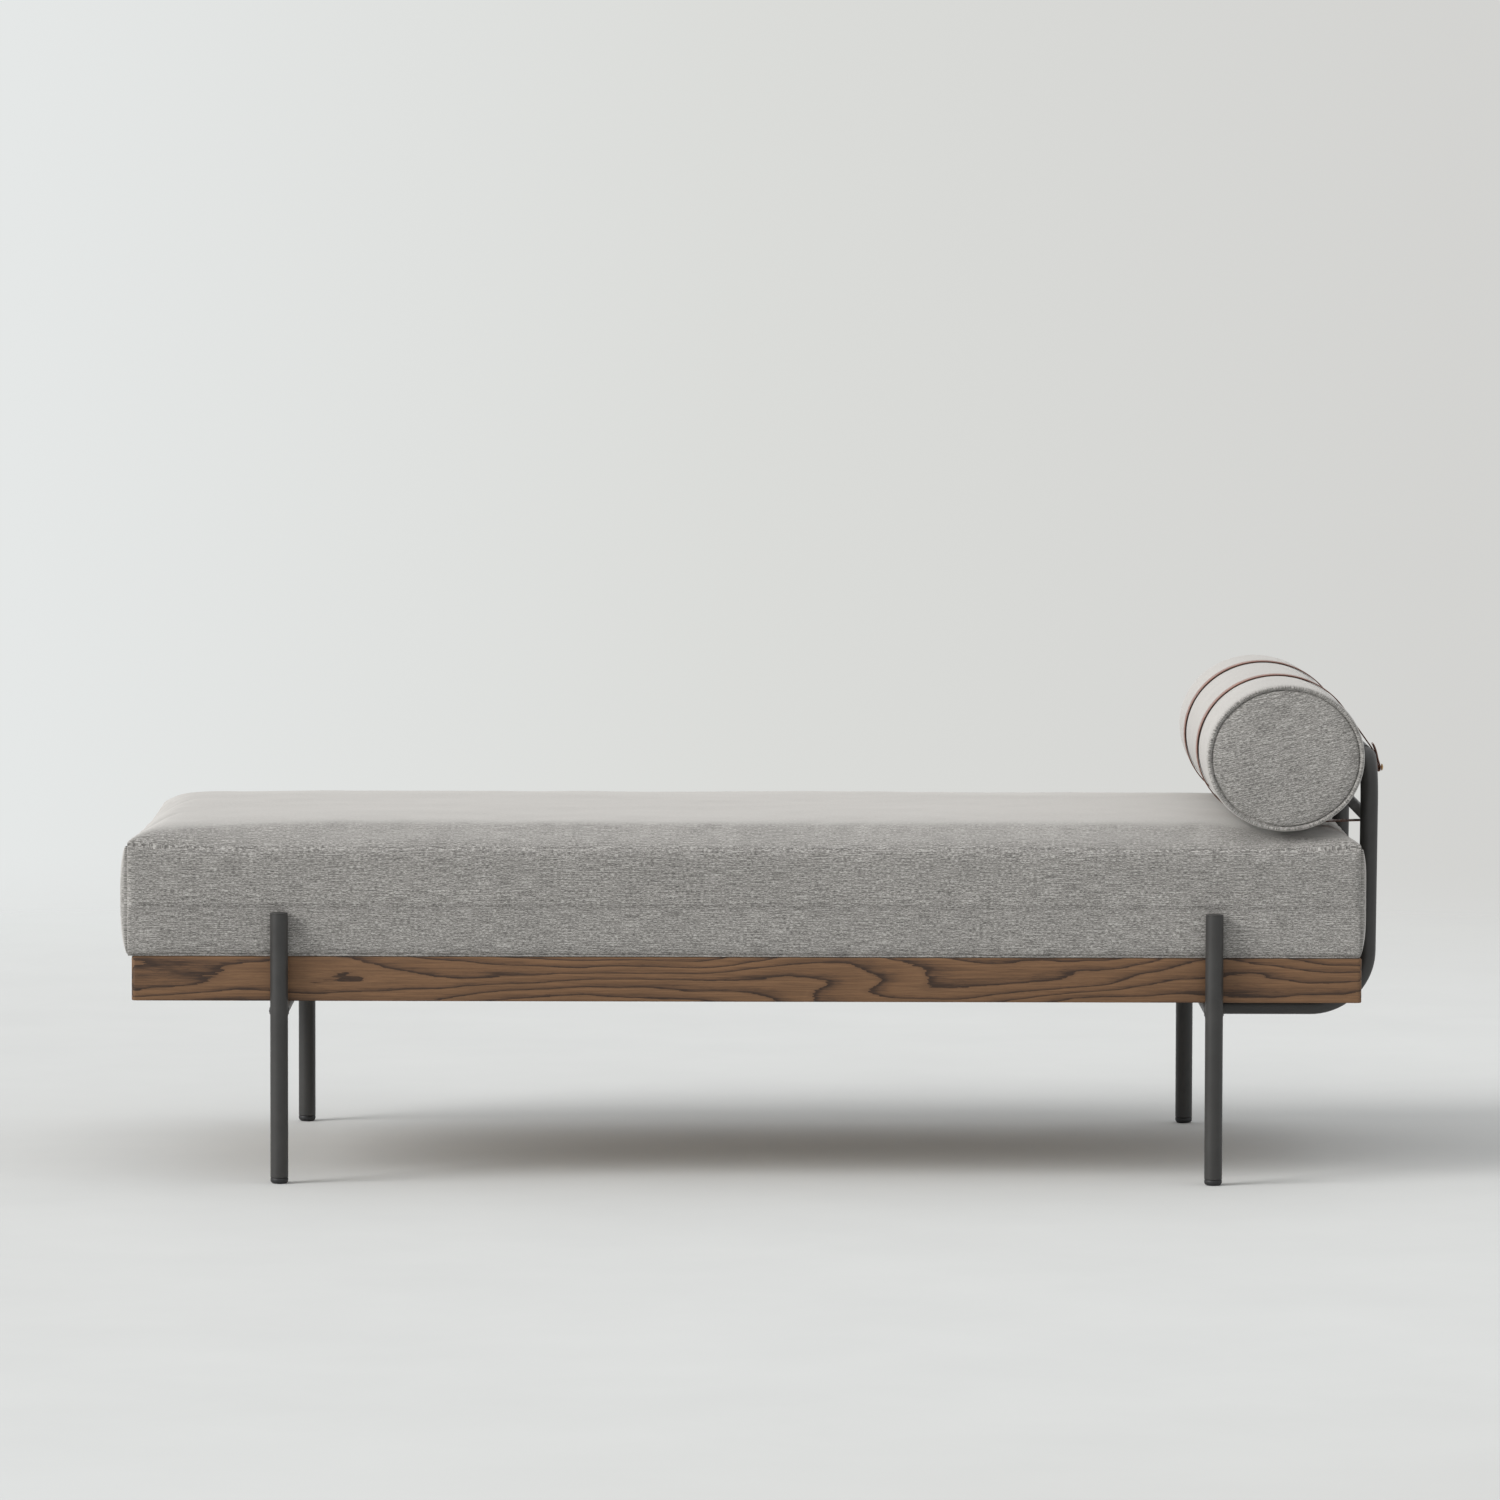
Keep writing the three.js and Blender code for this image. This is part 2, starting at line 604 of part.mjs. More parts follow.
function buildBolster() {
  const out = at(
    Math.cos(BOLSTER_ZIP_ANGLE) * BOLSTER_RZ, 0, Math.sin(BOLSTER_ZIP_ANGLE) * BOLSTER_RX,
  ).normalize();
  const along = at(0, 1, 0);
  const up = out.clone().cross(along);
  const surface = at(
    BOLSTER_X + BOLSTER_RX * Math.cos(BOLSTER_ZIP_ANGLE), 0,
    BOLSTER_Z + BOLSTER_RZ * Math.sin(BOLSTER_ZIP_ANGLE),
  );
  const turn = new THREE.Matrix4().makeBasis(along, up, out).setPosition(surface);
  const reach = BOLSTER_ZIP_HALF_LENGTH;
  const half = ZIP_WIDTH / 2;
  const slit = box(-reach, reach, -half, half, -COVER_THICKNESS - 0.5, 3).applyMatrix4(turn);
  add("bolster_filling", bolsterSolid(COVER_THICKNESS + 3 * CLEAR), foam);
  add("bolster_cover", cut(bolsterSolid(0), bolsterSolid(COVER_THICKNESS), slit), tweed);
  const tape = box(CLEAR - reach, reach - CLEAR, CLEAR - half, half - CLEAR, -ZIP_THICKNESS, 0);
  add("bolster_zip", tape.applyMatrix4(turn), zipGrey);
  const place = surface.clone().add(at(0, reach - 30, 0));
  add("bolster_zip_slider", slider(along.clone().negate(), out, up.clone().negate(), place), brass);
}

// ---- Straps ----

// What a strap goes round: each round piece's centre, radii and clearance.
const hoops = [
  { x: BOLSTER_X, z: BOLSTER_Z, rx: BOLSTER_RX, rz: BOLSTER_RZ, clear: STRAP_CLEAR_BOLSTER },
  { x: HEAD_TOP_X, z: HEAD_TOP_Z, rx: TUBE_RADIUS, rz: TUBE_RADIUS, clear: STRAP_CLEAR_RAIL },
  {
    x: uprightX(LOWER_RAIL_Z), z: LOWER_RAIL_Z,
    rx: LOWER_RAIL_RADIUS, rz: LOWER_RAIL_RADIUS, clear: STRAP_CLEAR_RAIL,
  },
];

// The taut line round all three hoops, pushed out by an offset: the furthest point of any
// hoop in each direction.
function strapOutline(offset) {
  const points = [];
  for (let k = 0; k < STRAP_SAMPLES; k++) {
    const angle = (k / STRAP_SAMPLES) * 2 * Math.PI;
    const [cx, cz] = [Math.cos(angle), Math.sin(angle)];
    const found = hoops.map((hoop) => {
      const reach = Math.hypot(hoop.rx * cx, hoop.rz * cz);
      const push = hoop.clear + offset;
      const px = hoop.x + (hoop.rx ** 2 * cx) / reach + push * cx;
      const pz = hoop.z + (hoop.rz ** 2 * cz) / reach + push * cz;
      return { px, pz, support: px * cx + pz * cz };
    });
    const far = found.reduce((best, next) => (next.support > best.support ? next : best));
    points.push(new THREE.Vector2(far.px, far.pz));
  }
  return points;
}

// An outline in X and Z, as wide as a strap, about a middle Y.
function strapBand(shape, y) {
  const geometry = new THREE.ExtrudeGeometry(shape, {
    depth: STRAP_WIDTH,
    bevelEnabled: false,
    curveSegments: 6,
  });
  return geometry.rotateX(Math.PI / 2).translate(0, y + STRAP_WIDTH / 2, 0);
}

// The strap's end, folded back under itself: its outline outwards from the loop's outer
// face beside the top rail, and the heights that it reaches.
function tabShape() {
  const face = HEAD_TOP_X + TUBE_RADIUS + STRAP_CLEAR_RAIL + STRAP_THICKNESS - 0.8;
  const shape = new THREE.Shape();
  shape.moveTo(face - 1.6, HEAD_TOP_Z + 13);
  shape.quadraticCurveTo(face + 3.1, HEAD_TOP_Z + 6, face + 5.1, HEAD_TOP_Z - 2);
  shape.lineTo(face + 9.6, HEAD_TOP_Z - 16.5);
  shape.quadraticCurveTo(face + 11.2, HEAD_TOP_Z - 24, face + 7.2, HEAD_TOP_Z - 25.4);
  shape.quadraticCurveTo(face + 3.1, HEAD_TOP_Z - 26.4, face + 1.2, HEAD_TOP_Z - 22.5);
  shape.lineTo(face - 1.1, HEAD_TOP_Z - 22.5);
  shape.lineTo(face - 0.4, HEAD_TOP_Z + 1);
  shape.closePath();
  return shape;
}

// A stud lying along its post, which runs outwards from the rail's outer edge.
function studProfile() {
  const [baseUnder, baseTop, headUnder, headTop] = [-3.6, -2.6, 13.6, 15.2];
  const [foot, neck, head] = [STUD_HEAD - 0.5, STUD_RADIUS, STUD_HEAD];
  return [
    [0, baseUnder], [foot, baseUnder], [foot, baseTop], [neck, baseTop], [neck, headUnder],
    [head, headUnder], [head, headUnder + 0.6], [head - 1.4, headTop - 0.2], [0, headTop],
  ].map(([r, h]) => new THREE.Vector2(r, h));
}

function buildStraps() {
  for (const [side, sign] of Object.entries(sides)) {
    const y = sign * STRAP_Y;
    const loop = new THREE.Shape(strapOutline(STRAP_THICKNESS));
    loop.holes.push(new THREE.Path(strapOutline(0)));
    const band = join(strapBand(loop, y), strapBand(tabShape(), y));
    const railEdge = HEAD_TOP_X + TUBE_RADIUS;
    const holeRadius = STUD_RADIUS + 0.4;
    const hole = rod(at(railEdge - 8, y, STUD_Z), at(railEdge + 30, y, STUD_Z), holeRadius, 0, 12);
    add(`strap_${side}`, cut(band, hole), leather);
    const stud = new THREE.LatheGeometry(studProfile(), 16).rotateZ(-Math.PI / 2);
    add(`strap_stud_${side}`, stud.translate(railEdge, y, STUD_Z), brass);
  }
}

buildPlatform();
buildLegs();
buildHeadFrame();
buildSeat();
buildBolster();
buildStraps();

// The origin is under the middle of the whole object's footprint.
const extent = new THREE.Box3().setFromObject(daybed);
const centre = extent.getCenter(new THREE.Vector3());
daybed.position.set(-centre.x, -centre.y, -extent.min.z);

export default daybed;
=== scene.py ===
"""Looks of the daybed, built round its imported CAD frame.

Shapes are worked out in millimetres, with X measured from the middle of the oak rails,
and are turned into metres in the row frame where a piece is made.
"""
import math
from contextlib import contextmanager

import bmesh
import bpy
import numpy as np
from mathutils import Matrix, Vector, noise


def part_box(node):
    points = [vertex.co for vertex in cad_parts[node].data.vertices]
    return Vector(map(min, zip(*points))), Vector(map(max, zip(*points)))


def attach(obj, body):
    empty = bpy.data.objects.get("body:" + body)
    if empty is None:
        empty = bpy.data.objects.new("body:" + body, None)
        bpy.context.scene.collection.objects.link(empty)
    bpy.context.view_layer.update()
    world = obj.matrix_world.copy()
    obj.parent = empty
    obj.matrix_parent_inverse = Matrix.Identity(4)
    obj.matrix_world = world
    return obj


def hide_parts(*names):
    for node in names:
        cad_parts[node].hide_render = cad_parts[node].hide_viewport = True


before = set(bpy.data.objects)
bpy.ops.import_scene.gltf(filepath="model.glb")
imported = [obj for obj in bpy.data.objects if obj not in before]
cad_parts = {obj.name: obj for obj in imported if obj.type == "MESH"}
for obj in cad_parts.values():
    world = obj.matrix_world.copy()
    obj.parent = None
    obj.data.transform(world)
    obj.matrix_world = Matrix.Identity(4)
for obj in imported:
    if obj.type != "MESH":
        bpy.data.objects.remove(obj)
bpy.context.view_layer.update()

MM = 0.001
RAIL_LOW, RAIL_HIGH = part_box("rail_front")
MIDDLE_X = (RAIL_LOW.x + RAIL_HIGH.x) / 2
ORIGIN = np.array((MIDDLE_X, 0.0, 0.0))
SIDES = {"front": -1, "back": 1}
ENDS = {"foot": -1, "head": 1}

# Dimensions in millimetres. They are those of part.mjs, except that the straps are drawn a
# little thinner and closer to the bolster than there.
HALF_LENGTH = 860.0
HALF_DEPTH = 375.0
RAIL_BOTTOM = 255.0
RAIL_TOP = 317.0
RAIL_THICKNESS = 28.0
RAIL_CORNER = 6.0
RAIL_EDGE = 1.6
MITRE_GAP = 0.15
TUBE = 12.5
LEG_X = 653.0
LEG_Y = 387.8
LEG_TOP = 380.0
CAP = 1.8
GLIDE = 8.0
UNDER_TUBE_Z = 242.0
HEAD_Y = 275.0
HEAD_FOOT_X = 873.6
HEAD_TOP_X = 876.6
HEAD_TOP_Z = 590.0
LOWER_BEND = 79.0
UPPER_BEND = 60.0
GROOVE_PLAY = 1.3
LOWER_RAIL_X = 875.9
LOWER_RAIL_Z = 505.0
LOWER_RAIL = 8.0
WELD = 1.5
SEAT_FOOT_END = -868.0
SEAT_HEAD_END = 860.5
SEAT_HALF_DEPTH = 374.0
SEAT_BOTTOM = 317.4
SEAT_SEAM_Z = 470.0
SHOULDER_RISE = 29.0
SHOULDER_RUN = 110.0
SHOULDER_POWER = 2.2
SHOULDER_ROOT = 0.7
CROWN_RISE = 9.0
CROWN_RUN = 240.0
SEAT_REST_Z = 487.5
SEAT_CORNER = 3.0
EAR_RISE = 2.5
EAR_REACH = 42.0
FOOT_BULGE = 8.0
HEAD_BULGE = 5.6
TUCK = 5.0
SEAT_SWELL = 4.4
SEAT_CAP = 5.0
SEAT_SEAM_DEPTH = 2.2
SEAT_ZIP_Z = 400.0
SEAT_ZIP_REACH = 620.0
ZIP_GROOVE = 2.6
BOLSTER_X = 752.2
BOLSTER_Z = 597.5
BOLSTER_RX = 111.3
BOLSTER_RZ = 103.0
BOLSTER_RADIUS = 107.0
BOLSTER_END = 372.7
BOLSTER_SEAM_SHARE = 0.927
BOLSTER_CAP = 2.0
BOLSTER_ZIP = math.radians(-40)
BOLSTER_ZIP_REACH = 280.0
END_GRAIN = math.radians(12)
STRAP_Y = 163.0
STRAP_WIDTH = 28.0
STRAP_THICKNESS = 1.5
STRAP_END_THICKNESS = 2.2
STRAP_FROM_BOLSTER = 1.2
STRAP_FROM_RAIL = 0.6
STUD_Z = 571.0
ZIP_WIDTH = 5.4


# ---- Node materials ----


class Nodes:
    """A node tree in the making, with short ways to add the nodes that repeat."""

    def __init__(self, tree):
        self.tree = tree

    def put(self, socket, value):
        """Links another node's output to a socket, or sets the socket's own value."""
        if isinstance(value, bpy.types.NodeSocket):
            self.tree.links.new(value, socket)
        elif socket.type == "RGBA":
            socket.default_value = (*value, 1.0)
        else:
            socket.default_value = value

    def add(self, kind, inputs=None, **settings):
        node = self.tree.nodes.new("ShaderNode" + kind)
        for key, value in settings.items():
            setattr(node, key, value)
        for key, value in (inputs or {}).items():
            self.put(node.inputs[key], value)
        return node

    def math(self, operation, *values):
        return self.add("Math", dict(enumerate(values)), operation=operation).outputs[0]

    def total(self, *parts):
        """The sum of parts given as (value, weight)."""
        total = 0.0
        for value, weight in parts:
            total = self.math("MULTIPLY_ADD", value, weight, total)
        return total

    def scaled(self, vector, scale, turn=0.0):
        inputs = {"Vector": vector, "Scale": scale, "Rotation": (0, 0, turn)}
        return self.add("Mapping", inputs).outputs[0]

    def noise(self, vector, scale, detail, roughness=0.5):
        """Noise at one scale, or at its own scale along each axis."""
        if isinstance(scale, tuple):
            vector = self.scaled(vector, scale)
            scale = 1.0
        inputs = {"Vector": vector, "Scale": scale, "Detail": detail, "Roughness": roughness}
        return self.add("TexNoise", inputs).outputs[0]

    def axes(self, vector):
        return self.add("SeparateXYZ", {0: vector}).outputs

    def ramp(self, factor, *stops):
        """A colour ramp through stops of (position, colour)."""
        node = self.add("ValToRGB", {0: factor})
        elements = node.color_ramp.elements
        while len(elements) < len(stops):
            elements.new(0.5)
        for element, (position, colour) in zip(elements, stops):
            element.position = position
            element.color = (*colour, 1.0)
        return node.outputs[0]

    def two_tone(self, factor, low, high):
        return self.ramp(factor, (0.3, low), (0.7, high))

    def span(self, factor, low, high, start=0.3, end=0.7):
        """Maps a factor between start and end on to a number between low and high."""
        return self.add("MapRange", {0: factor, 1: start, 2: end, 3: low, 4: high}).outputs[0]

    def mixed(self, factor, a, b, blend="MIX"):
        inputs = {0: factor, 6: a, 7: b}
        return self.add("Mix", inputs, data_type="RGBA", blend_type=blend).outputs[2]

    def toned(self, colour, tone):
        """A colour made lighter or darker by a number."""
        tint = self.add("CombineColor", {0: tone, 1: tone, 2: tone}).outputs[0]
        return self.mixed(1.0, colour, tint, "MULTIPLY")

    def bump(self, height, distance, strength):
        inputs = {"Height": height, "Distance": distance * MM, "Strength": strength}
        return self.add("Bump", inputs).outputs[0]


class Look(Nodes):
    """A material in the making, with its shader and the object's own coordinates."""

    def __init__(self, name):
        self.material = bpy.data.materials.new(name)
        self.material.use_nodes = True
        super().__init__(self.material.node_tree)
        self.shader = self.tree.nodes["Principled BSDF"]
        self.coords = self.add("TexCoord").outputs["Object"]

    def finish(self, **sockets):
        """Fills the shader's sockets, named with _ for each space, and gives the material."""
        for name, value in sockets.items():
            self.put(self.shader.inputs[name.replace("_", " ")], value)
        return self.material


def tweed_material():
    """Heather wool: pale and dark fibres in short streaks along the weft, on a plain weave."""
    look = Look("tweed")
    uv = look.add("UVMap", uv_map="weave").outputs[0]
    cloth = look.scaled(uv, (1000, 1000, 1000))
    streak = look.noise(cloth, (0.034, 0.70, 1), 1.0)
    slub = look.noise(cloth, (0.20, 1.10, 1), 2.0, 0.55)
    fleck = look.noise(cloth, (0.55, 1.10, 1), 2.0, 0.7)
    grain = look.noise(cloth, (1.3, 1.7, 1), 1.0)
    broad = look.noise(cloth, (0.006, 0.012, 1), 2.0)
    heather = look.total((fleck, 0.28), (slub, 0.45), (streak, 0.22), (grain, 0.18))
    colour = look.ramp(
        heather,
        (0.475, (0.105, 0.100, 0.094)),
        (0.535, (0.196, 0.188, 0.177)),
        (0.585, (0.292, 0.281, 0.264)),
        (0.645, (0.500, 0.485, 0.460)),
    )
    colour = look.toned(colour, look.span(broad, 0.94, 1.06))
    # painted sheen: the base colour is mixed towards a pale grey where the surface is seen edge on,
    # standing in for the light that loose wool fibres catch there
    facing = look.add("LayerWeight", {"Blend": 0.5}).outputs["Facing"]
    fuzz_and_painted_sheen = look.math("MULTIPLY", look.math("POWER", facing, 3.2), 0.96)
    colour = look.mixed(fuzz_and_painted_sheen, colour, (0.585, 0.565, 0.540))
    across, along, _ = look.axes(cloth)
    warp = look.math("SINE", look.math("MULTIPLY", across, 2.4))
    weft = look.math("SINE", look.math("MULTIPLY", along, 3.1))
    weave = look.total((heather, 1.0), (look.math("MULTIPLY", warp, weft), 0.35))
    return look.finish(
        Base_Color=colour,
        Normal=look.bump(weave, 0.4, 0.5),
        Roughness=0.93,
        Specular_IOR_Level=0.2,
        Sheen_Weight=0.2,
        Sheen_Roughness=0.4,
        Sheen_Tint=(0.95, 0.93, 0.88),
    )


def wood_material(name, rings, pore_colour, turn=0.0, gloss=0.55):
    """Plain sawn oak: wavy growth rings that close into flames, with open pores along them."""
    look = Look(name)
    along = look.scaled(look.coords, (1, 1, 1), turn)
    flame = look.noise(along, (2.2, 8.0, 12.0), 1.6, 0.45)
    ripple = look.noise(along, (15.0, 30.0, 70.0), 2.0)
    fibre = look.noise(along, (17.0, 620.0, 620.0), 2.0, 0.6)
    _, across, up = look.axes(along)
    depth = look.math("ABSOLUTE", across)
    phase = look.total((flame, 10.0), (up, 56.0), (depth, 25.0), (ripple, 0.55), (fibre, 0.22))
    ring = look.math("FRACT", phase)
    colour = look.toned(look.ramp(ring, *rings), look.span(fibre, 0.76, 1.18))
    pore = look.noise(along, (95.0, 1900.0, 1900.0), 1.0)
    early = look.span(ring, 1.0, 0.25, 0.0, 0.45)
    open_pore = look.math("MULTIPLY", look.span(pore, 0.0, 1.0, 0.58, 0.70), early)
    colour = look.mixed(look.math("MULTIPLY", open_pore, 0.75), colour, pore_colour)
    height = look.total((fibre, 0.35), (open_pore, -1.0))
    return look.finish(
        Base_Color=colour,
        Normal=look.bump(height, 0.25, 0.8),
        Roughness=look.span(fibre, gloss - 0.06, gloss + 0.10),
        Specular_IOR_Level=0.35,
    )


def steel_material():
    """Black powder coat: satin, with the faint orange peel that the coat leaves."""
    look = Look("black_steel")
    peel = look.noise(look.coords, 900.0, 2.0)
    cloud = look.noise(look.coords, 22.0, 3.0, 0.6)
    return look.finish(
        Base_Color=look.two_tone(cloud, (0.026, 0.025, 0.0235), (0.036, 0.035, 0.033)),
        Normal=look.bump(peel, 0.06, 0.5),
        Roughness=look.span(cloud, 0.42, 0.52),
        Specular_IOR_Level=0.5,
    )


def metal_material(name, low, high, roughness):
    """Bare metal, with fine scratches and a little tarnish."""
    look = Look(name)
    tarnish = look.noise(look.coords, 260.0, 4.0, 0.6)
    scratch = look.noise(look.coords, (300.0, 4000.0, 2600.0), 2.0, 0.6)
    return look.finish(
        Base_Color=look.two_tone(tarnish, low, high),
        Normal=look.bump(scratch, 0.03, 0.6),
        Roughness=look.span(scratch, roughness - 0.07, roughness + 0.12),
        Metallic=1.0,
    )


def leather_material():
    """Vegetable tanned leather: pebbled grain, darker where its cut edges are burnished."""
    look = Look("leather")
    cells = {"Vector": look.coords, "Scale": 850.0}
    pebbles = look.add("TexVoronoi", cells, feature="DISTANCE_TO_EDGE").outputs[0]
    creases = look.noise(look.coords, 160.0, 4.0, 0.65)
    cloud = look.noise(look.coords, 34.0, 3.0, 0.6)
    colour = look.ramp(
        cloud,
        (0.30, (0.215, 0.084, 0.049)),
        (0.55, (0.262, 0.106, 0.063)),
        (0.75, (0.310, 0.133, 0.081)),
    )
    edge = look.add("Attribute", attribute_name="edge").outputs["Fac"]
    colour = look.mixed(look.math("MULTIPLY", edge, 0.75), colour, (0.075, 0.032, 0.021))
    height = look.total((creases, 1.0), (look.span(pebbles, 0.0, 1.0, 0.0, 0.25), 0.5))
    return look.finish(
        Base_Color=colour,
        Normal=look.bump(height, 0.08, 0.5),
        Roughness=look.span(creases, 0.24, 0.36),
    )


def plastic_material():
    """Moulded black plastic with a spark eroded grain."""
    look = Look("black_plastic")
    grain = look.noise(look.coords, 1800.0, 2.0, 0.6)
    return look.finish(
        Base_Color=look.two_tone(grain, (0.011, 0.011, 0.012), (0.018, 0.018, 0.019)),
        Normal=look.bump(grain, 0.05, 0.6),
        Roughness=look.span(grain, 0.48, 0.62),
    )


def tape_material():
    """Woven zip tape: a fine twill in dark grey."""
    look = Look("zip_tape")
    inputs = {"Vector": look.coords, "Scale": 1500.0, "Distortion": 0.6}
    twill = look.add("TexWave", inputs, bands_direction="DIAGONAL").outputs["Fac"]
    fuzz_and_painted_sheen = look.noise(look.coords, 1200.0, 2.0, 0.6)
    return look.finish(
        Base_Color=look.ramp(twill, (0.0, (0.055, 0.053, 0.050)), (1.0, (0.115, 0.111, 0.104))),
        Normal=look.bump(look.total((twill, 1.0), (fuzz_and_painted_sheen, 1.0)), 0.10, 0.7),
        Roughness=0.85,
    )


OAK_RINGS = [
    (0.0, (0.038, 0.020, 0.011)),
    (0.07, (0.048, 0.025, 0.014)),
    (0.17, (0.105, 0.055, 0.028)),
    (0.45, (0.155, 0.081, 0.039)),
    (0.88, (0.182, 0.097, 0.047)),
    (0.98, (0.150, 0.079, 0.039)),
]
OAK_PORES = (0.022, 0.013, 0.009)
PLAIN_RINGS = [
    (0.0, (0.36, 0.25, 0.15)),
    (0.15, (0.43, 0.31, 0.19)),
    (0.60, (0.56, 0.42, 0.27)),
    (0.95, (0.48, 0.35, 0.22)),
]
PLAIN_PORES = (0.22, 0.15, 0.09)
MATERIALS = {
    "tweed": tweed_material(),
    "black_steel": steel_material(),
    "bolt_steel": metal_material("bolt_steel", (0.42, 0.42, 0.43), (0.60, 0.60, 0.61), 0.33),
    "brass": metal_material("brass", (0.34, 0.21, 0.09), (0.52, 0.35, 0.16), 0.34),
    "leather": leather_material(),
    "black_plastic": plastic_material(),
    "zip_tape": tape_material(),
}
for ending, grain_turn in (("", 0.0), ("_across", math.pi / 2)):
    for wood, wood_rings, wood_pores, wood_gloss in (
        ("dark_oak", OAK_RINGS, OAK_PORES, 0.55),
        ("plain_wood", PLAIN_RINGS, PLAIN_PORES, 0.7),
    ):
        MATERIALS[wood + ending] = wood_material(
            wood + ending, wood_rings, wood_pores, grain_turn, wood_gloss
        )


# ---- Mesh building ----


@contextmanager
def mesh_edit(mesh):
    build = bmesh.new()
    build.from_mesh(mesh)
    yield build
    build.to_mesh(mesh)
    build.free()


def shade(mesh, smooth=True):
    mesh.polygons.foreach_set("use_smooth", [smooth] * len(mesh.polygons))


def new_object(name, data):
    """An object in the scene from a mesh, a light or a camera."""
    item = bpy.data.objects.new(name, data)
    bpy.context.scene.collection.objects.link(item)
    return item


def make_piece(name, points, faces, material, replaced=(), body="daybed_frame", smooth=True):
    """An object from points in millimetres, riding on a body and standing for CAD nodes."""
    mesh = bpy.data.meshes.new(name)
    mesh.from_pydata((np.asarray(points, float) * MM + ORIGIN).tolist(), [], faces)
    mesh.validate()
    with mesh_edit(mesh) as build:
        bmesh.ops.recalc_face_normals(build, faces=build.faces)
    shade(mesh, smooth)
    mesh.materials.append(MATERIALS[material])
    piece = new_object(name, mesh)
    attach(piece, body)
    if replaced:
        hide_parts(*replaced)
    return piece


def sharpen(piece, angle):
    """Keeps the edges sharper than an angle crisp in a smooth shaded piece."""
    piece.data.set_sharp_from_angle(angle=math.radians(angle))
    return piece


def bevelled(piece, width, segments, angle, clamp=False, chosen=lambda edge: True):
    """Rounds a piece's chosen edges by a width in millimetres."""
    with mesh_edit(piece.data) as build:
        bmesh.ops.bevel(
            build,
            geom=[edge for edge in build.edges if chosen(edge)],
            offset=width * MM,
            segments=segments,
            profile=0.5,
            affect="EDGES",
            clamp_overlap=clamp,
        )
    shade(piece.data)
    return sharpen(piece, angle)


def apply_modifiers(piece):
    """Bakes a piece's modifiers into its mesh."""
    graph = bpy.context.evaluated_depsgraph_get()
    final = bpy.data.meshes.new_from_object(piece.evaluated_get(graph))
    piece.modifiers.clear()
    piece.data = final


def ring_faces(rings, count, closed, start=0):
    """Quads between rings of count points each, and back to the first ring if closed."""
    faces = []
    for i in range(rings if closed else rings - 1):
        a = start + i * count
        b = start + ((i + 1) % rings) * count
        for j in range(count):
            k = (j + 1) % count
            faces.append((a + j, a + k, b + k, b + j))
    return faces


def prism(outline, low, high):
    """Points and faces of an outline of (x, y) between two heights."""
    count = len(outline)
    points = [(x, y, z) for z in (low, high) for x, y in outline]
    faces = [tuple(range(count)), tuple(range(2 * count - 1, count - 1, -1))]
    return points, faces + ring_faces(2, count, False)


def gathered(parts):
    """Several meshes' points and faces as one."""
    points, faces = [], []
    for more_points, more_faces in parts:
        start = len(points)
        points += list(more_points)
        faces += [tuple(start + i for i in face) for face in more_faces]
    return points, faces


def unit(vectors):
    """One vector or several, brought to a length of 1."""
    return vectors / np.maximum(np.linalg.norm(vectors, axis=-1, keepdims=True), 1e-9)


def sweep(path, section, closed=False, up=None):
    """Points and faces of a section carried along a path, its frame turning as little as it can.

    The section's points are (across, out), where out starts along up. Where up is given, the
    section keeps its thickness at the path's corners."""
    path = np.asarray(path, float)
    count = len(path)
    size = len(section)
    ahead = np.roll(path, -1, axis=0) - path
    behind = path - np.roll(path, 1, axis=0)
    if not closed:
        ahead[-1] = behind[-1]
        behind[0] = ahead[0]
    ahead, behind = unit(ahead), unit(behind)
    tangents = unit(ahead + behind)
    out = np.array((0.0, 0.0, 1.0) if up is None else up, float)
    if abs(out @ tangents[0]) > 0.9:
        out = np.array((0.0, 1.0, 0.0))
    points = []
    for i in range(count):
        out = unit(out - (out @ tangents[i]) * tangents[i])
        across = np.cross(tangents[i], out)
        spread = 1.0 if up is None else 1.0 / max(0.3, float(ahead[i] @ tangents[i]))
        points += [path[i] + across * a + out * b * spread for a, b in section]
    faces = ring_faces(count, size, closed)
    if not closed:
        faces.append(tuple(range(size))[::-1])
        faces.append(tuple(range((count - 1) * size, count * size)))
    return points, faces


def both_ways(half):
    """A half outline, and back along its mirror image in the second measure."""
    return half + [(a, -b) for a, b in reversed(half)]


def circle(radius, sides):
    turns = np.arange(sides) / sides * 2 * math.pi
    return [(radius * math.cos(t), radius * math.sin(t)) for t in turns]


def arc(centre, radius, start, end, steps):
    """Points of (across, along) on an arc, with its angles in degrees."""
    turns = np.radians(np.linspace(start, end, steps + 1))
    return [(centre[0] + radius * math.cos(t), centre[1] + radius * math.sin(t)) for t in turns]


def lathe(profile, centre, upright=True, sides=48):
    """Points and faces of a profile of (radius, height) turned about Z, or X, through centre."""

    def placed(a, b, height):
        return (a, b, height) if upright else (height, a, b)

    rings = profile[1:-1]
    points = [placed(a, b, height) for radius, height in rings for a, b in circle(radius, sides)]
    faces = ring_faces(len(rings), sides, False)
    for (_, height), ring in ((profile[0], 0), (profile[-1], len(rings) - 1)):
        hub = len(points)
        points.append(placed(0, 0, height))
        faces += [(hub, ring * sides + j, ring * sides + (j + 1) % sides) for j in range(sides)]
    return np.array(points, float) + np.array(centre, float), faces


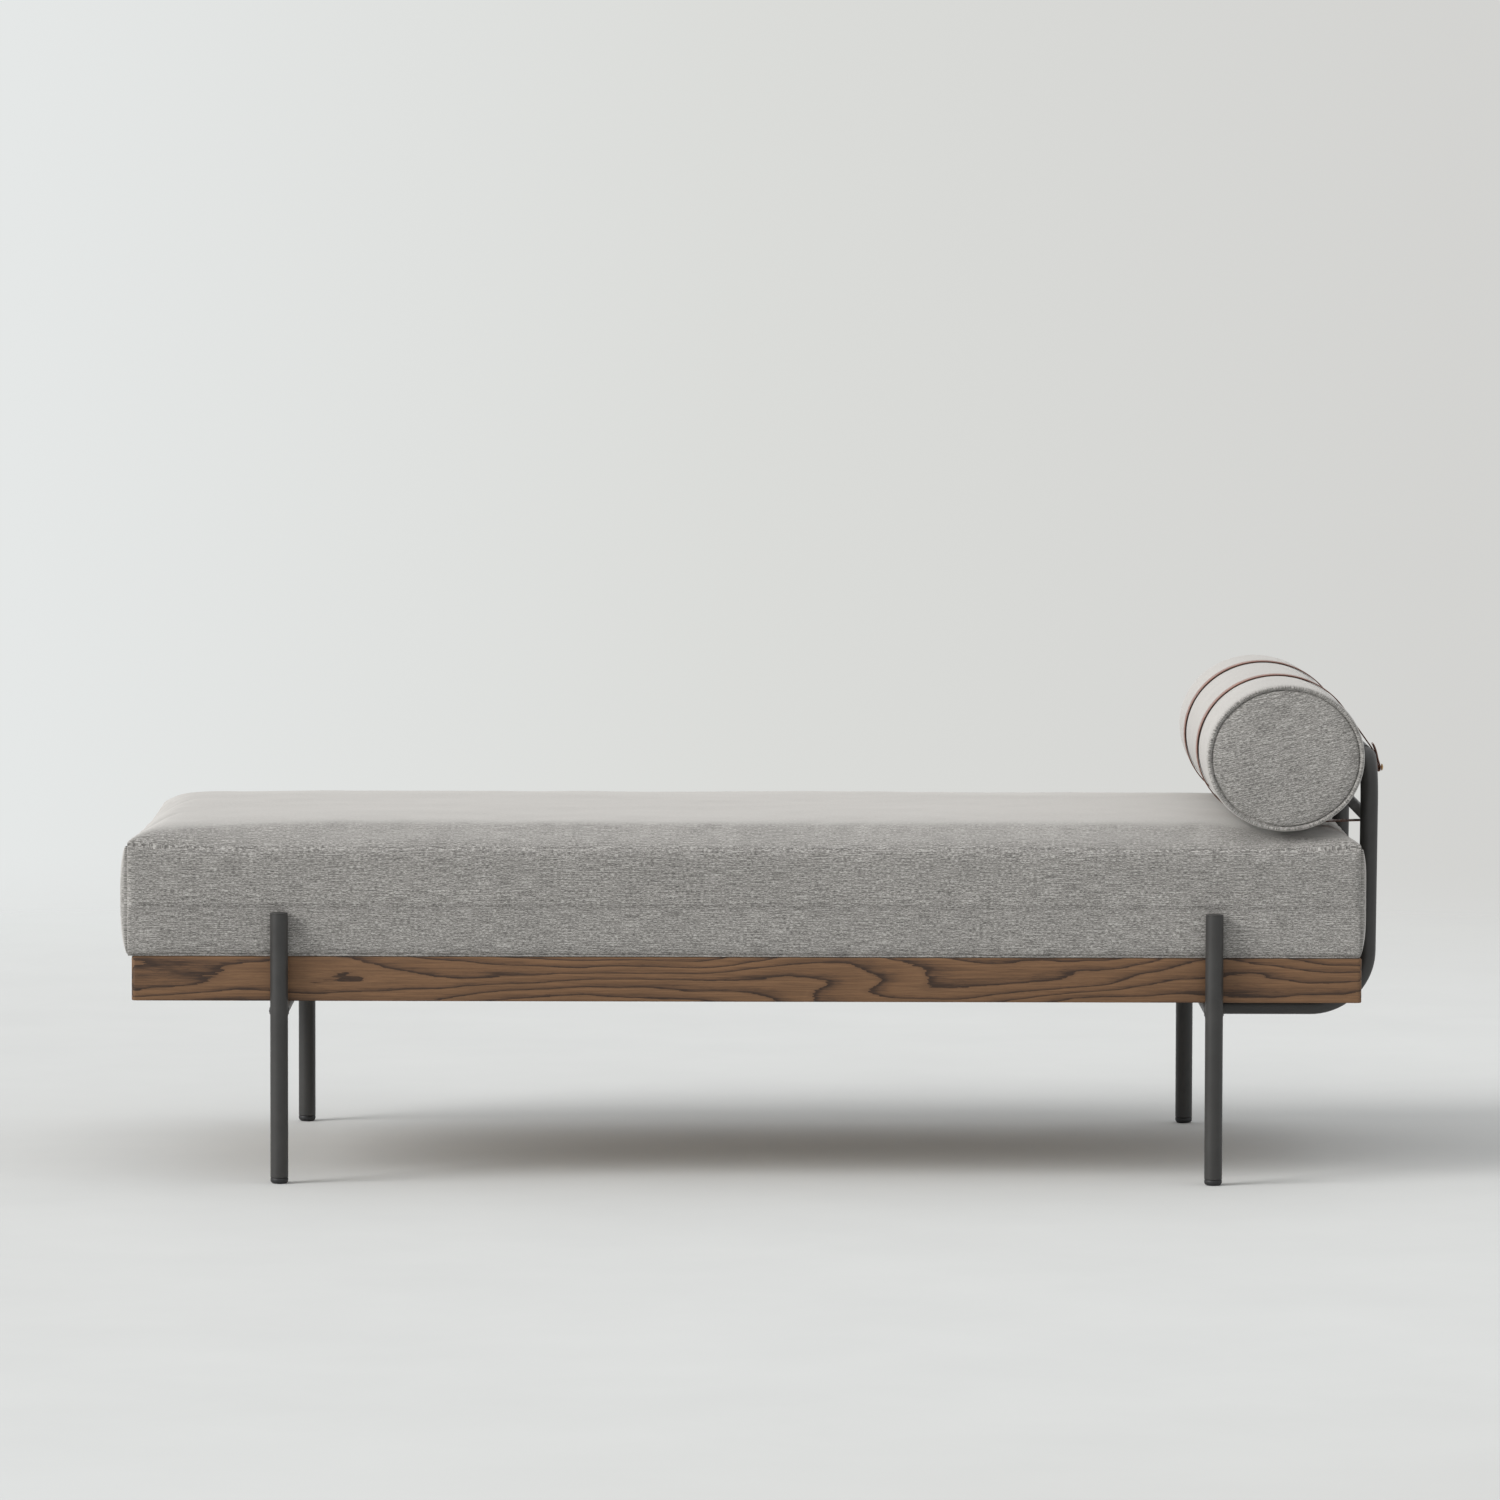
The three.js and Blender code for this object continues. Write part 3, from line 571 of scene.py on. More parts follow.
def bent_path(corners, bends, steps=20):
    """A path through straight runs and round bends."""
    path = [np.array(corners[0], float)]
    for i, radius in enumerate(bends):
        before, corner, after = (np.array(corners[i + k], float) for k in range(3))
        inward, onward = unit(before - corner), unit(after - corner)
        half = math.acos(float(inward @ onward)) / 2
        centre = corner + unit(inward + onward) * radius / math.sin(half)
        start = corner + inward * radius / math.tan(half)
        axis = Vector(np.cross(onward, inward)).normalized()
        for k in range(steps + 1):
            turn = Matrix.Rotation(k / steps * (math.pi - 2 * half), 3, axis)
            path.append(centre + np.array(turn @ Vector(start - centre)))
    path.append(np.array(corners[-1], float))
    return path


def rounded_line(points, steps=4):
    """A smooth line through points, by Catmull and Rom's spline."""
    points = np.array([points[0], *points, points[-1]], float)
    line = []
    for a, b, c, d in zip(points, points[1:], points[2:], points[3:]):
        for t in np.arange(steps) / steps:
            square = (2 * a - 5 * b + 4 * c - d) * t**2
            cube = (3 * b - a - 3 * c + d) * t**3
            line.append(0.5 * (2 * b + (c - a) * t + square + cube))
    line.append(points[-2])
    return line


# ---- Oak rails ----


def rail_outline(longways, sign):
    """A rail seen from above, mitred at both ends, with half of each rounded corner."""
    corner = (HALF_LENGTH - RAIL_CORNER, HALF_DEPTH - RAIL_CORNER)
    half = arc(corner, RAIL_CORNER, 90 if longways else 0, 45, 4)
    half.append((HALF_LENGTH - RAIL_THICKNESS, HALF_DEPTH - RAIL_THICKNESS))
    if longways:
        return [(x, sign * y) for y, x in both_ways([(y, x - MITRE_GAP) for x, y in half])]
    return [(sign * x, y) for x, y in both_ways([(x, y - MITRE_GAP) for x, y in half])]


def is_level(edge):
    low, high = (vertex.co.z for vertex in edge.verts)
    return abs(low - high) < 1e-6


def build_rail(name, longways, sign):
    points, faces = prism(rail_outline(longways, sign), RAIL_BOTTOM, RAIL_TOP)
    material = "dark_oak" if longways else "dark_oak_across"
    rail = make_piece(f"oak_{name}", points, faces, material, [name])
    return bevelled(rail, RAIL_EDGE, 4, 28.0, chosen=is_level)


def notch_head_rail(rail):
    """Cuts the two grooves that the head frame's bends pass through."""
    corners = head_corners()
    bends = [LOWER_BEND, UPPER_BEND]
    for run, radii in ((corners[:4], bends), (corners[2:], bends[::-1])):
        points, faces = sweep(bent_path(run, radii), circle(TUBE + GROOVE_PLAY, 48))
        cutter = make_piece("cutter", points, faces, "black_steel")
        groove = rail.modifiers.new("groove", "BOOLEAN")
        groove.operation = "DIFFERENCE"
        groove.solver = "MANIFOLD"
        groove.object = cutter
        apply_modifiers(rail)
        bpy.data.objects.remove(cutter)
    sharpen(rail, 28.0)


def build_platform():
    for side, sign in SIDES.items():
        build_rail(f"rail_{side}", True, sign)
    build_rail("rail_foot", False, -1)
    notch_head_rail(build_rail("rail_head", False, 1))


# ---- Steel tubes ----


def tube_piece(name, path, radius, node, sides=40):
    points, faces = sweep(path, circle(radius, sides))
    return sharpen(make_piece(name, points, faces, "black_steel", [node]), 50.0)


def weld(name, curve):
    """A weld bead along a closed curve, with the ripple that a weld leaves."""
    sides = 8
    path = [curve(t) for t in np.linspace(0, 2 * math.pi, 96, endpoint=False)]
    points, faces = sweep(path, circle(WELD, sides), closed=True)
    rippled = []
    for i, point in enumerate(points):
        hub = np.array(path[i // sides], float)
        swell = 1.0 + 0.16 * math.cos((i // sides) * math.pi / 2)
        rippled.append(hub + (point - hub) * swell)
    make_piece(name, rippled, faces, "black_steel")


def head_corners():
    """The head frame's line, from the front arm up, over and down to the back arm."""
    front, back = (
        [(LEG_X, y, UNDER_TUBE_Z), (HEAD_FOOT_X, y, UNDER_TUBE_Z), (HEAD_TOP_X, y, HEAD_TOP_Z)]
        for y in (-HEAD_Y, HEAD_Y)
    )
    return front + back[::-1]


def into_tube(offset):
    """How far a tube's side stands from its middle, at an offset across it."""
    return math.sqrt(max(TUBE**2 - offset**2, 0.0))


def build_leg(end, side):
    x = ENDS[end] * LEG_X
    y = SIDES[side] * LEG_Y
    tag = f"{end}_{side}"
    top = LEG_TOP - CAP
    post = [(0, GLIDE + 0.3), (TUBE - 0.7, GLIDE + 0.3), (TUBE, GLIDE + 1.0)]
    post += [(TUBE, top - 0.9), (TUBE - 0.6, top - 0.2), (0, top - 0.2)]
    cap = [(0, top - 1.0), (TUBE - 1.0, top - 1.0), (TUBE - 0.4, top), (TUBE - 0.1, top + 0.5)]
    cap += arc((TUBE - 1.3, LEG_TOP - 1.2), 1.2, 0, 90, 5)
    cap += [(TUBE * 0.6, LEG_TOP + 0.05), (0, LEG_TOP + 0.1)]
    glide = [(0, 0.3), (TUBE - 6.5, 0.3), (TUBE - 5.6, 0.0)]
    glide += arc((TUBE - 5.0, 5.0), 5.0, -90, 0, 8)
    glide += [(TUBE, GLIDE - 0.6), (TUBE - 0.5, GLIDE), (0, GLIDE)]
    for kind, profile, material in (
        ("post", post, "black_steel"),
        ("cap", cap, "black_steel"),
        ("glide", glide, "black_plastic"),
    ):
        points, faces = lathe(profile, (x, y, 0))
        piece = make_piece(f"{kind}_{tag}", points, faces, material, [f"leg_{kind}_{tag}"])
        sharpen(piece, 40.0)

    def joint(t):
        """Where the cross tube meets the post."""
        a = TUBE * math.sin(t)
        return (x + a, y - SIDES[side] * into_tube(a), UNDER_TUBE_Z + TUBE * math.cos(t))

    weld(f"weld_{tag}", joint)


def build_steel():
    into_post = 4
    for end, sign in ENDS.items():
        for side in SIDES:
            build_leg(end, side)
        path = [(sign * LEG_X, y, UNDER_TUBE_Z) for y in (into_post - LEG_Y, LEG_Y - into_post)]
        tube_piece(f"under_tube_{end}", path, TUBE, f"cross_tube_{end}")
    bends = [LOWER_BEND, UPPER_BEND, UPPER_BEND, LOWER_BEND]
    tube_piece("head_frame", bent_path(head_corners(), bends), TUBE, "head_frame_tube")
    path = [(LOWER_RAIL_X, y, LOWER_RAIL_Z) for y in (-HEAD_Y, HEAD_Y)]
    tube_piece("head_rail_low", path, LOWER_RAIL, "head_lower_rail", 32)
    for side, sign in SIDES.items():

        def arm_joint(t, sign=sign):
            """Where an arm of the head frame meets the cross tube."""
            a, b = TUBE * math.sin(t), TUBE * math.cos(t)
            return (LEG_X + into_tube(b), sign * HEAD_Y + a, UNDER_TUBE_Z + b)

        def rail_joint(t, sign=sign):
            """Where the lower rail meets an upright."""
            a, b = LOWER_RAIL * math.sin(t), LOWER_RAIL * math.cos(t)
            return (LOWER_RAIL_X + a, sign * (HEAD_Y - into_tube(a)), LOWER_RAIL_Z + b)

        weld(f"weld_arm_{side}", arm_joint)
        weld(f"weld_rail_{side}", rail_joint)


# ---- Cloth ----


def stations(low, high, step, fine=(1.6, 4.5, 9.0, 15.0, 23.0)):
    """Places along a side, closer together near both of its ends."""
    near = [low, *(low + f for f in fine)]
    far = [*(high - f for f in reversed(fine)), high]
    count = max(2, round((far[0] - near[-1]) / step))
    middle = np.linspace(near[-1], far[0], count + 1)[1:-1]
    return np.array([*near, *middle, *far])


def grid_shell(xs, ys, zs):
    """The outside of a grid: each point's three station numbers, its quads and their axes."""
    sizes = (len(xs), len(ys), len(zs))
    numbers = {}
    quads = []
    facing = []
    for axis in range(3):
        a, b = [k for k in range(3) if k != axis]
        for at_end in (0, sizes[axis] - 1):
            for i in range(sizes[a] - 1):
                for j in range(sizes[b] - 1):
                    quad = []
                    for di, dj in ((0, 0), (1, 0), (1, 1), (0, 1)):
                        key = [at_end] * 3
                        key[a] = i + di
                        key[b] = j + dj
                        quad.append(numbers.setdefault(tuple(key), len(numbers)))
                    quads.append(tuple(quad))
                    facing.append(axis)
    return np.array(list(numbers)), quads, facing


def smooth_step(value, low, high):
    t = np.clip((value - low) / (high - low), 0.0, 1.0)
    return t * t * (3 - 2 * t)


def lumps(points, scale, seed):
    """Smooth noise between -1 and 1 at each point, with features about scale wide."""
    shift = Vector((seed * 7.31, seed * 3.17, seed * 5.71))
    return np.array([noise.noise(Vector(p) / scale + shift) for p in points])


def simulate(piece, pins, cap, pressure=4.0, frames=20):
    """Inflates a piece as cloth and keeps the result, no point moving further than the cap."""
    rest = np.array([v.co for v in piece.data.vertices])
    group = piece.vertex_groups.new(name="pins")
    for index, weight in enumerate(pins):
        if weight > 0:
            group.add([index], float(weight), "REPLACE")
    cloth = piece.modifiers.new("cloth", "CLOTH")
    for key, value in {
        "quality": 5,
        "mass": 0.35,
        "tension_stiffness": 25,
        "compression_stiffness": 18,
        "shear_stiffness": 12,
        "bending_stiffness": 1.2,
        "vertex_group_mass": "pins",
        "use_pressure": True,
        "uniform_pressure_force": pressure,
        "shrink_min": -0.006,
    }.items():
        setattr(cloth.settings, key, value)
    cloth.settings.effector_weights.gravity = 0
    cloth.collision_settings.use_collision = False
    cloth.collision_settings.use_self_collision = False
    cloth.point_cache.frame_start = 1
    cloth.point_cache.frame_end = frames
    for step in range(1, frames + 1):
        bpy.context.scene.frame_set(step)
    graph = bpy.context.evaluated_depsgraph_get()
    settled = np.array([v.co for v in piece.evaluated_get(graph).data.vertices])
    piece.modifiers.clear()
    piece.vertex_groups.clear()
    bpy.context.scene.frame_set(1)
    shift = settled - rest
    reach = np.maximum(np.linalg.norm(shift, axis=1), 1e-12)
    shift *= np.minimum(1.0, cap * MM / reach)[:, None]
    set_points(piece, (rest + shift - ORIGIN) / MM)


def get_points(piece):
    """A piece's points in millimetres from the middle of the rails."""
    return (np.array([v.co for v in piece.data.vertices]) - ORIGIN) / MM


def set_points(piece, points):
    piece.data.vertices.foreach_set("co", np.asarray(points * MM + ORIGIN, np.float32).ravel())
    piece.data.update()


def finish_cloth(piece, corner_uv, limits):
    layer = piece.data.uv_layers.new(name="weave")
    layer.data.foreach_set("uv", np.asarray(corner_uv, np.float32).ravel())
    smooth = piece.modifiers.new("smooth", "SUBSURF")
    smooth.levels = 1
    smooth.render_levels = 1
    smooth.uv_smooth = "NONE"
    apply_modifiers(piece)
    set_points(piece, limits(get_points(piece)))


# ---- Seat cushion ----


def risen(distance, run, power):
    """How far the seat's top has risen at a distance from a seam, from 0 to 1."""
    return 1 - np.power(1 - np.clip(distance / run, 0, 1), power)


def shoulder(distance):
    return np.maximum(np.power(risen(distance, SHOULDER_RUN, SHOULDER_POWER), SHOULDER_ROOT), 1e-3)


def under_bolster(x, y):
    """The height that the seat is held down to by the bolster and its straps."""
    clear, strap_clear, strap_reach = 2.0, 3.6, 22.0
    strap = np.exp(-(((np.abs(y) - STRAP_Y) / strap_reach) ** 4))
    reach = BOLSTER_RX + clear + strap_clear * strap
    across = np.clip((BOLSTER_X - x) / reach, 0, 1)
    hollow = BOLSTER_Z - (BOLSTER_Z - SEAT_REST_Z) * np.sqrt(1 - across**2)
    return np.where(across >= 1, 1e3, hollow)


def seat_top(x, y):
    """The height of the seat's top panel."""
    from_end = np.minimum(x - SEAT_FOOT_END, SEAT_HEAD_END - x)
    from_side = SEAT_HALF_DEPTH - np.abs(y)
    edge = np.power(shoulder(from_end) ** -5 + shoulder(from_side) ** -5, -0.2)
    swell = risen(from_end, CROWN_RUN, 2) * risen(from_side, CROWN_RUN, 2)
    top = SEAT_SEAM_Z + SHOULDER_RISE * edge + CROWN_RISE * swell
    held = np.minimum(under_bolster(x, y), top + 60)
    # the lower of the two, with a soft turn of a few millimetres between them
    soft = 3.0
    base = 480.0
    return base - soft * np.log(np.exp((base - top) / soft) + np.exp((base - held) / soft))


def round_plan(x, y, half_x, half_y, radius):
    """Rounds the upright corners of a rectangle seen from above."""
    q = np.maximum(np.abs(x) - (half_x - radius), 0)
    r = np.maximum(np.abs(y) - (half_y - radius), 0)
    shrink = 1 - np.maximum(q, r) / np.maximum(np.hypot(q, r), 1e-9)
    return x - np.sign(x) * q * shrink, y - np.sign(y) * r * shrink


def seat_limits(points):
    """Keeps the seat clear of the posts, the uprights, the slats, the bolster and the straps."""
    past_posts = LEG_TOP + 8
    foot_most, head_most, upright_room, upright_reach = -877.0, 866.5, 6.2, 17.0
    x, y, z = points.T
    deep = np.where(z < past_posts, 374.4, 376.5)
    y = np.clip(y, -deep, deep)
    upright = np.exp(-(((np.abs(y) - HEAD_Y) / upright_reach) ** 6))
    x = np.clip(x, foot_most, head_most - upright_room * upright)
    z = np.maximum(z, SEAT_BOTTOM)
    top = z > SEAT_SEAM_Z - 30
    z = np.where(top, np.minimum(z, under_bolster(x, y) - 0.4), z)
    z = np.where(top & (x > BOLSTER_X), np.minimum(z, SEAT_REST_Z), z)
    return np.column_stack((x, y, z))


def seat_shape():
    """The seat cushion at rest: a crowned box with swelling sides, raised corners and seams.

    Where the cloth is simulated, the top and the ends start lower by what it adds to them."""
    middle = (SEAT_FOOT_END + SEAT_HEAD_END) / 2
    half_x = (SEAT_HEAD_END - SEAT_FOOT_END) / 2
    xs = stations(-half_x, half_x, 12.0)
    ys = stations(-SEAT_HALF_DEPTH, SEAT_HALF_DEPTH, 12.0)
    height = SEAT_SEAM_Z - SEAT_BOTTOM
    zip_rise = SEAT_ZIP_Z - SEAT_BOTTOM
    rows = stations(0.0, height, 11.0, (1.6, 4.5, 9.0, 16.0))
    rows = [z for z in rows if abs(z - zip_rise) > 9.0]
    rows += [zip_rise + d for d in (-6.5, -4.0, -3.0, 0.0, 3.0, 4.0, 6.5)]
    ws = np.array(sorted(rows)) / height
    keys, quads, facing = grid_shell(xs, ys, ws)
    x, y, w = xs[keys[:, 0]], ys[keys[:, 1]], ws[keys[:, 2]]

    on_end = (keys[:, 0] == 0) | (keys[:, 0] == len(xs) - 1)
    on_side = (keys[:, 1] == 0) | (keys[:, 1] == len(ys) - 1)
    on_top = keys[:, 2] == len(ws) - 1
    on_bottom = keys[:, 2] == 0
    seam = (on_end | on_side) & (on_top | on_bottom) | (on_end & on_side)

    px, py = round_plan(x, y, half_x, SEAT_HALF_DEPTH, SEAT_CORNER)
    from_end = half_x - np.abs(x)
    from_side = SEAT_HALF_DEPTH - np.abs(y)
    ear = EAR_RISE * np.exp(-((np.hypot(from_end, from_side) / EAR_REACH) ** 2))
    room = SEAT_SWELL
    lowered = (1 - np.exp(-from_side / 24.0)) * (1 - np.exp(-((from_end / 70.0) ** 2)))
    top = seat_top(px + middle, py) + ear - room * lowered
    pz = SEAT_BOTTOM + w * (top - SEAT_BOTTOM)

    swell = np.power(np.clip(4 * w * (1 - w), 0, 1), 0.55)
    end_bulge = np.where(x < 0, FOOT_BULGE, HEAD_BULGE) - 0.75 * room
    pillow = 1 - np.exp(-(from_side + 1.2) / 5.0)
    tuck = TUCK * np.exp(-w / 0.05)
    px = px + np.where(on_end, np.sign(x) * (end_bulge * swell * pillow - 0.6 * tuck), 0)
    py = py - np.where(on_side, np.sign(y) * 0.4 * tuck, 0)
    points = np.column_stack((px + middle, py, pz))

    outward = np.column_stack(
        (np.where(on_end, np.sign(x), 0), np.where(on_side, np.sign(y), 0), 1.0 * on_top - on_bottom)
    )
    inward = np.where(seam[:, None], -unit(outward), 0)
    return points + inward * SEAT_SEAM_DEPTH, quads, facing, keys, ws, seam, inward


def seat_uneven(points, seam):
    """The small unevenness of a real cushion, and the gathers that its seams pull in."""
    x, y, z = points.T
    wide = lumps(points, 210.0, 1)
    small = lumps(points, 62.0, 2)
    tight = lumps(points * np.array((1.0, 0.35, 0.5)), 26.0, 3)
    to_seam = np.minimum(np.abs(z - SEAT_SEAM_Z - 2), np.abs(z - SEAT_BOTTOM))
    near = np.exp(-to_seam / 14.0)
    out = 0.5 * wide + 0.45 * small + 0.6 * near * tight
    front = np.abs(y) > SEAT_HALF_DEPTH - 3
    end = ~front & (np.abs(x) > 855)
    top = (z > SEAT_SEAM_Z - 4) & ~seam
    return points + np.column_stack(
        (
            np.where(end, np.sign(x) * out, 0),
            np.where(front, np.sign(y) * np.minimum(out, 0.9), 0),
            np.where(top, 1.5 * wide + 0.7 * small + 0.5 * near * tight, 0),
        )
    )


def ease_zip_rows(points, keys, ws):
    """Evens out the close rows that only the zip's side of the seat needs."""
    height = SEAT_SEAM_Z - SEAT_BOTTOM
    back_row = keys[:, 1].max()
    rows = [k for k, w in enumerate(ws) if abs(w * height - (SEAT_ZIP_Z - SEAT_BOTTOM)) < 7.0]
    low, high = rows[0] - 1, rows[-1] + 1
    numbers = {tuple(key): n for n, key in enumerate(keys.tolist())}
    eased = points.copy()
    for n, (i, j, k) in enumerate(keys.tolist()):
        if k in rows and j != back_row:
            below, above = points[numbers[i, j, low]], points[numbers[i, j, high]]
            eased[n] = below + (above - below) * (ws[k] - ws[low]) / (ws[high] - ws[low])
    return eased


def zip_fade(along, reach):
    """1 along a zip and 0 beyond its ends."""
    return 1 - smooth_step(np.abs(along), reach - 4, reach + 6)


def build_seat():
    points, quads, facing, keys, ws, seam, inward = seat_shape()
    points = seat_uneven(points, seam)
    piece = make_piece(
        "seat_cushion_cover", points, quads, "tweed", ["seat_cover", "seat_foam"], "seat_cushion"
    )
    pins = np.where(seam, 0.9, 0.0)
    pins[keys[:, 2] == 0] = 1.0
    simulate(piece, pins, SEAT_CAP)
    points = ease_zip_rows(get_points(piece) + inward * SEAT_SEAM_DEPTH, keys, ws)
    # the back is flat round its zip, which lies in a groove
    x, y, z = points.T
    plain_z = ws[keys[:, 2]] * (SEAT_SEAM_Z - SEAT_BOTTOM) + SEAT_BOTTOM
    from_zip = np.abs(plain_z - SEAT_ZIP_Z)
    back = (keys[:, 1] == keys[:, 1].max()) & (np.abs(x) < SEAT_ZIP_REACH + 30)
    fade = np.where(back, zip_fade(x, SEAT_ZIP_REACH), 0.0)
    level = (1 - smooth_step(from_zip, 10.0, 32.0)) * fade
    groove = ZIP_GROOVE * (1 - smooth_step(from_zip, 2.4, 3.6)) * fade
    y = y + (SEAT_HALF_DEPTH - y) * level - groove
    z = z + (plain_z - z) * level
    set_points(piece, seat_limits(np.column_stack((x, y, z))))
    coords = get_points(piece) * MM
    shifts = {0: (0.37, 0.11), 1: (0.0, 0.53), 2: (0.21, 0.0)}
    planes = {0: [1, 2], 1: [0, 2], 2: [0, 1]}
    corner_uv = [
        coords[vertex][planes[axis]] + shifts[axis]
        for quad, axis in zip(piece.data.polygons, facing)
        for vertex in quad.vertices
    ]
    finish_cloth(piece, corner_uv, seat_limits)


# ---- Bolster ----


def bolster_rings():
    """Rings of (Y, radius share) from the near end's middle to the far end's middle."""
    end = [
        (-372.6, 0.12), (-372.4, 0.28), (-372.1, 0.44), (-371.7, 0.58), (-371.3, 0.70),
        (-371.1, 0.80), (-370.9, 0.87), (-370.6, 0.908), (-369.6, 0.918), (-365.8, 0.925),
        (-365.6, 0.930), (-369.4, 0.937), (-370.9, 0.948), (-370.7, 0.962), (-369.4, 0.976),
        (-366.0, 0.988), (-361.0, 0.995), (-352.0, 0.999),
    ]
    middle = [(y, 1.0) for y in np.linspace(-340, 340, 69)]
    return end + middle + [(-y, r) for y, r in reversed(end)]


def bolster_angles():
    """Angles round the bolster, closer together at its zip, where the first one is."""
    offsets = [o / BOLSTER_RADIUS for o in (0.0, 2.4, 3.6, 6.0, 10.0, 17.0)]
    near = [BOLSTER_ZIP + o for o in offsets]
    far = [BOLSTER_ZIP + 2 * math.pi - o for o in reversed(offsets[1:])]
    middle = np.linspace(near[-1], far[0], 68)[1:-1]
    return np.array([*near, *middle, *far])


def oval(angles, y, share, proud):
    """Points on the bolster's oval section, or inside it by their share of its radius."""
    x = BOLSTER_X + (BOLSTER_RX + proud) * share * np.cos(angles)
    return np.column_stack((x, y, BOLSTER_Z + (BOLSTER_RZ + proud) * share * np.sin(angles)))


def bolster_limits(points):
    """Keeps the bolster inside its straps' loops."""
    proud = 0.9
    x, y, z = points.T
    across = (x - BOLSTER_X) / (BOLSTER_RX + proud)
    upright = (z - BOLSTER_Z) / (BOLSTER_RZ + proud)
    share = np.maximum(np.hypot(across, upright), 1.0)
    x = BOLSTER_X + (x - BOLSTER_X) / share
    z = BOLSTER_Z + (z - BOLSTER_Z) / share
    return np.column_stack((x, np.clip(y, -374.5, 374.5), z))


def build_bolster():
    rings = bolster_rings()
    ring_angles = bolster_angles()
    count = len(ring_angles)
    # the two hubs of the ends come last
    angles = np.array([*np.tile(ring_angles, len(rings)), 0.0, 0.0])
    shares = np.array([*np.repeat([share for _, share in rings], count), 0.0, 0.0])
    ring_y = np.repeat([y for y, _ in rings], count)
    points = oval(angles, np.array([*ring_y, -BOLSTER_END, BOLSTER_END]), shares, -0.4)
    faces = ring_faces(len(rings), count, False)
    for hub, ring in ((len(points) - 2, 0), (len(points) - 1, len(rings) - 1)):
        faces += [(hub, ring * count + j, ring * count + (j + 1) % count) for j in range(count)]
    y = points[:, 1]
    on_end = (shares < 0.97) & (np.abs(y) > 360)
    from_seam = np.abs(shares - BOLSTER_SEAM_SHARE)
    wide = lumps(points, 150.0, 5)
    small = lumps(points, 48.0, 6)
    gather = lumps(points, 15.0, 7) * np.exp(-from_seam / 0.05) * (np.abs(y) > 330)
    radial = unit((points - (BOLSTER_X, 0, BOLSTER_Z)) * (1, 0, 1))
    push = np.where(on_end, 0.0, 0.7 * wide + 0.45 * small + 0.5 * gather)
    end_push = np.where(on_end, np.sign(y) * (0.8 * wide + 0.5 * small + 0.7 * gather), 0)
    points = points + radial * push[:, None]
    points[:, 1] += end_push
    piece = make_piece(
        "bolster_tweed", points, faces, "tweed", ["bolster_cover", "bolster_filling"], "bolster"
    )
    simulate(piece, np.where(from_seam < 0.006, 1.0, 0.0), BOLSTER_CAP)
    # the side is even round its zip, which lies in a groove
    points = get_points(piece)
    turn = (angles - BOLSTER_ZIP + math.pi) % (2 * math.pi) - math.pi
    from_zip = np.abs(turn) * BOLSTER_RADIUS
    fade = np.where(shares > 0.99, zip_fade(points[:, 1], BOLSTER_ZIP_REACH), 0.0)
    level = (1 - smooth_step(from_zip, 8.0, 20.0)) * fade
    groove = ZIP_GROOVE * (1 - smooth_step(from_zip, 2.6, 4.0)) * fade
    points = points + (oval(angles, points[:, 1], 1.0, 0.2) - points) * level[:, None]
    set_points(piece, bolster_limits(points - radial * groove[:, None]))
    coords = get_points(piece) * MM
    corner_uv = []
    cosine, sine = math.cos(END_GRAIN), math.sin(END_GRAIN)
    for polygon in piece.data.polygons:
        flat = all(shares[v] < 0.95 for v in polygon.vertices)
        turns = [angles[v] for v in polygon.vertices]
        across_start = max(turns) - min(turns) > math.pi
        for vertex, turned in zip(polygon.vertices, turns):
            u, v, w = coords[vertex]
            if flat:
                corner_uv.append((u * cosine + w * sine, w * cosine - u * sine))
            else:
                whole = 2 * math.pi if across_start and turned < 1.0 else 0.0
                corner_uv.append((v, (turned + whole) * BOLSTER_RADIUS * MM))
    finish_cloth(piece, corner_uv, bolster_limits)


# ---- Straps ----


def strap_loop(offset):
    """The taut line round the bolster and both head rails, pushed out by an offset."""
    hoops = [
        (BOLSTER_X, BOLSTER_Z, BOLSTER_RX, BOLSTER_RZ, STRAP_FROM_BOLSTER),
        (HEAD_TOP_X, HEAD_TOP_Z, TUBE, TUBE, STRAP_FROM_RAIL),
        (LOWER_RAIL_X, LOWER_RAIL_Z, LOWER_RAIL, LOWER_RAIL, STRAP_FROM_RAIL),
    ]
    points = []
    for cx, cz in circle(1.0, 360):
        supports = []
        for hx, hz, rx, rz, clear in hoops:
            reach = math.hypot(rx * cx, rz * cz)
            px = hx + rx**2 * cx / reach + (clear + offset) * cx
            pz = hz + rz**2 * cz / reach + (clear + offset) * cz
            supports.append((px * cx + pz * cz, px, pz))
        points.append(max(supports)[1:])
    return resample(points, 5.0)


def resample(points, step):
    """A closed line's points, spaced evenly."""
    points = np.array([*points, points[0]])
    lengths = np.linalg.norm(np.diff(points, axis=0), axis=1)
    places = np.concatenate(([0], np.cumsum(lengths)))
    wanted = np.linspace(0, places[-1], round(places[-1] / step), endpoint=False)
    return np.column_stack([np.interp(wanted, places, points[:, k]) for k in (0, 1)])


def strap_section(thickness):
    """A strap's section: rounded cut edges, and a pressed line beside each."""
    w, t = STRAP_WIDTH / 2, thickness / 2
    top = [(-w + 0.9, t), (-w + 2.2, t), (-w + 2.8, t - 0.45), (-w + 3.4, t)]
    top += [(-w / 2, t + 0.1), (0, t + 0.15)]
    top += [(-a, b) for a, b in reversed(top[:-1])]
    bottom = [(-a, max(-b, -t)) for a, b in top]
    right = [(w - 0.1, t * 0.55), (w, 0.0), (w - 0.1, -t * 0.55)]
    left = [(-a, -b) for a, b in right]
    return top + right + bottom + left


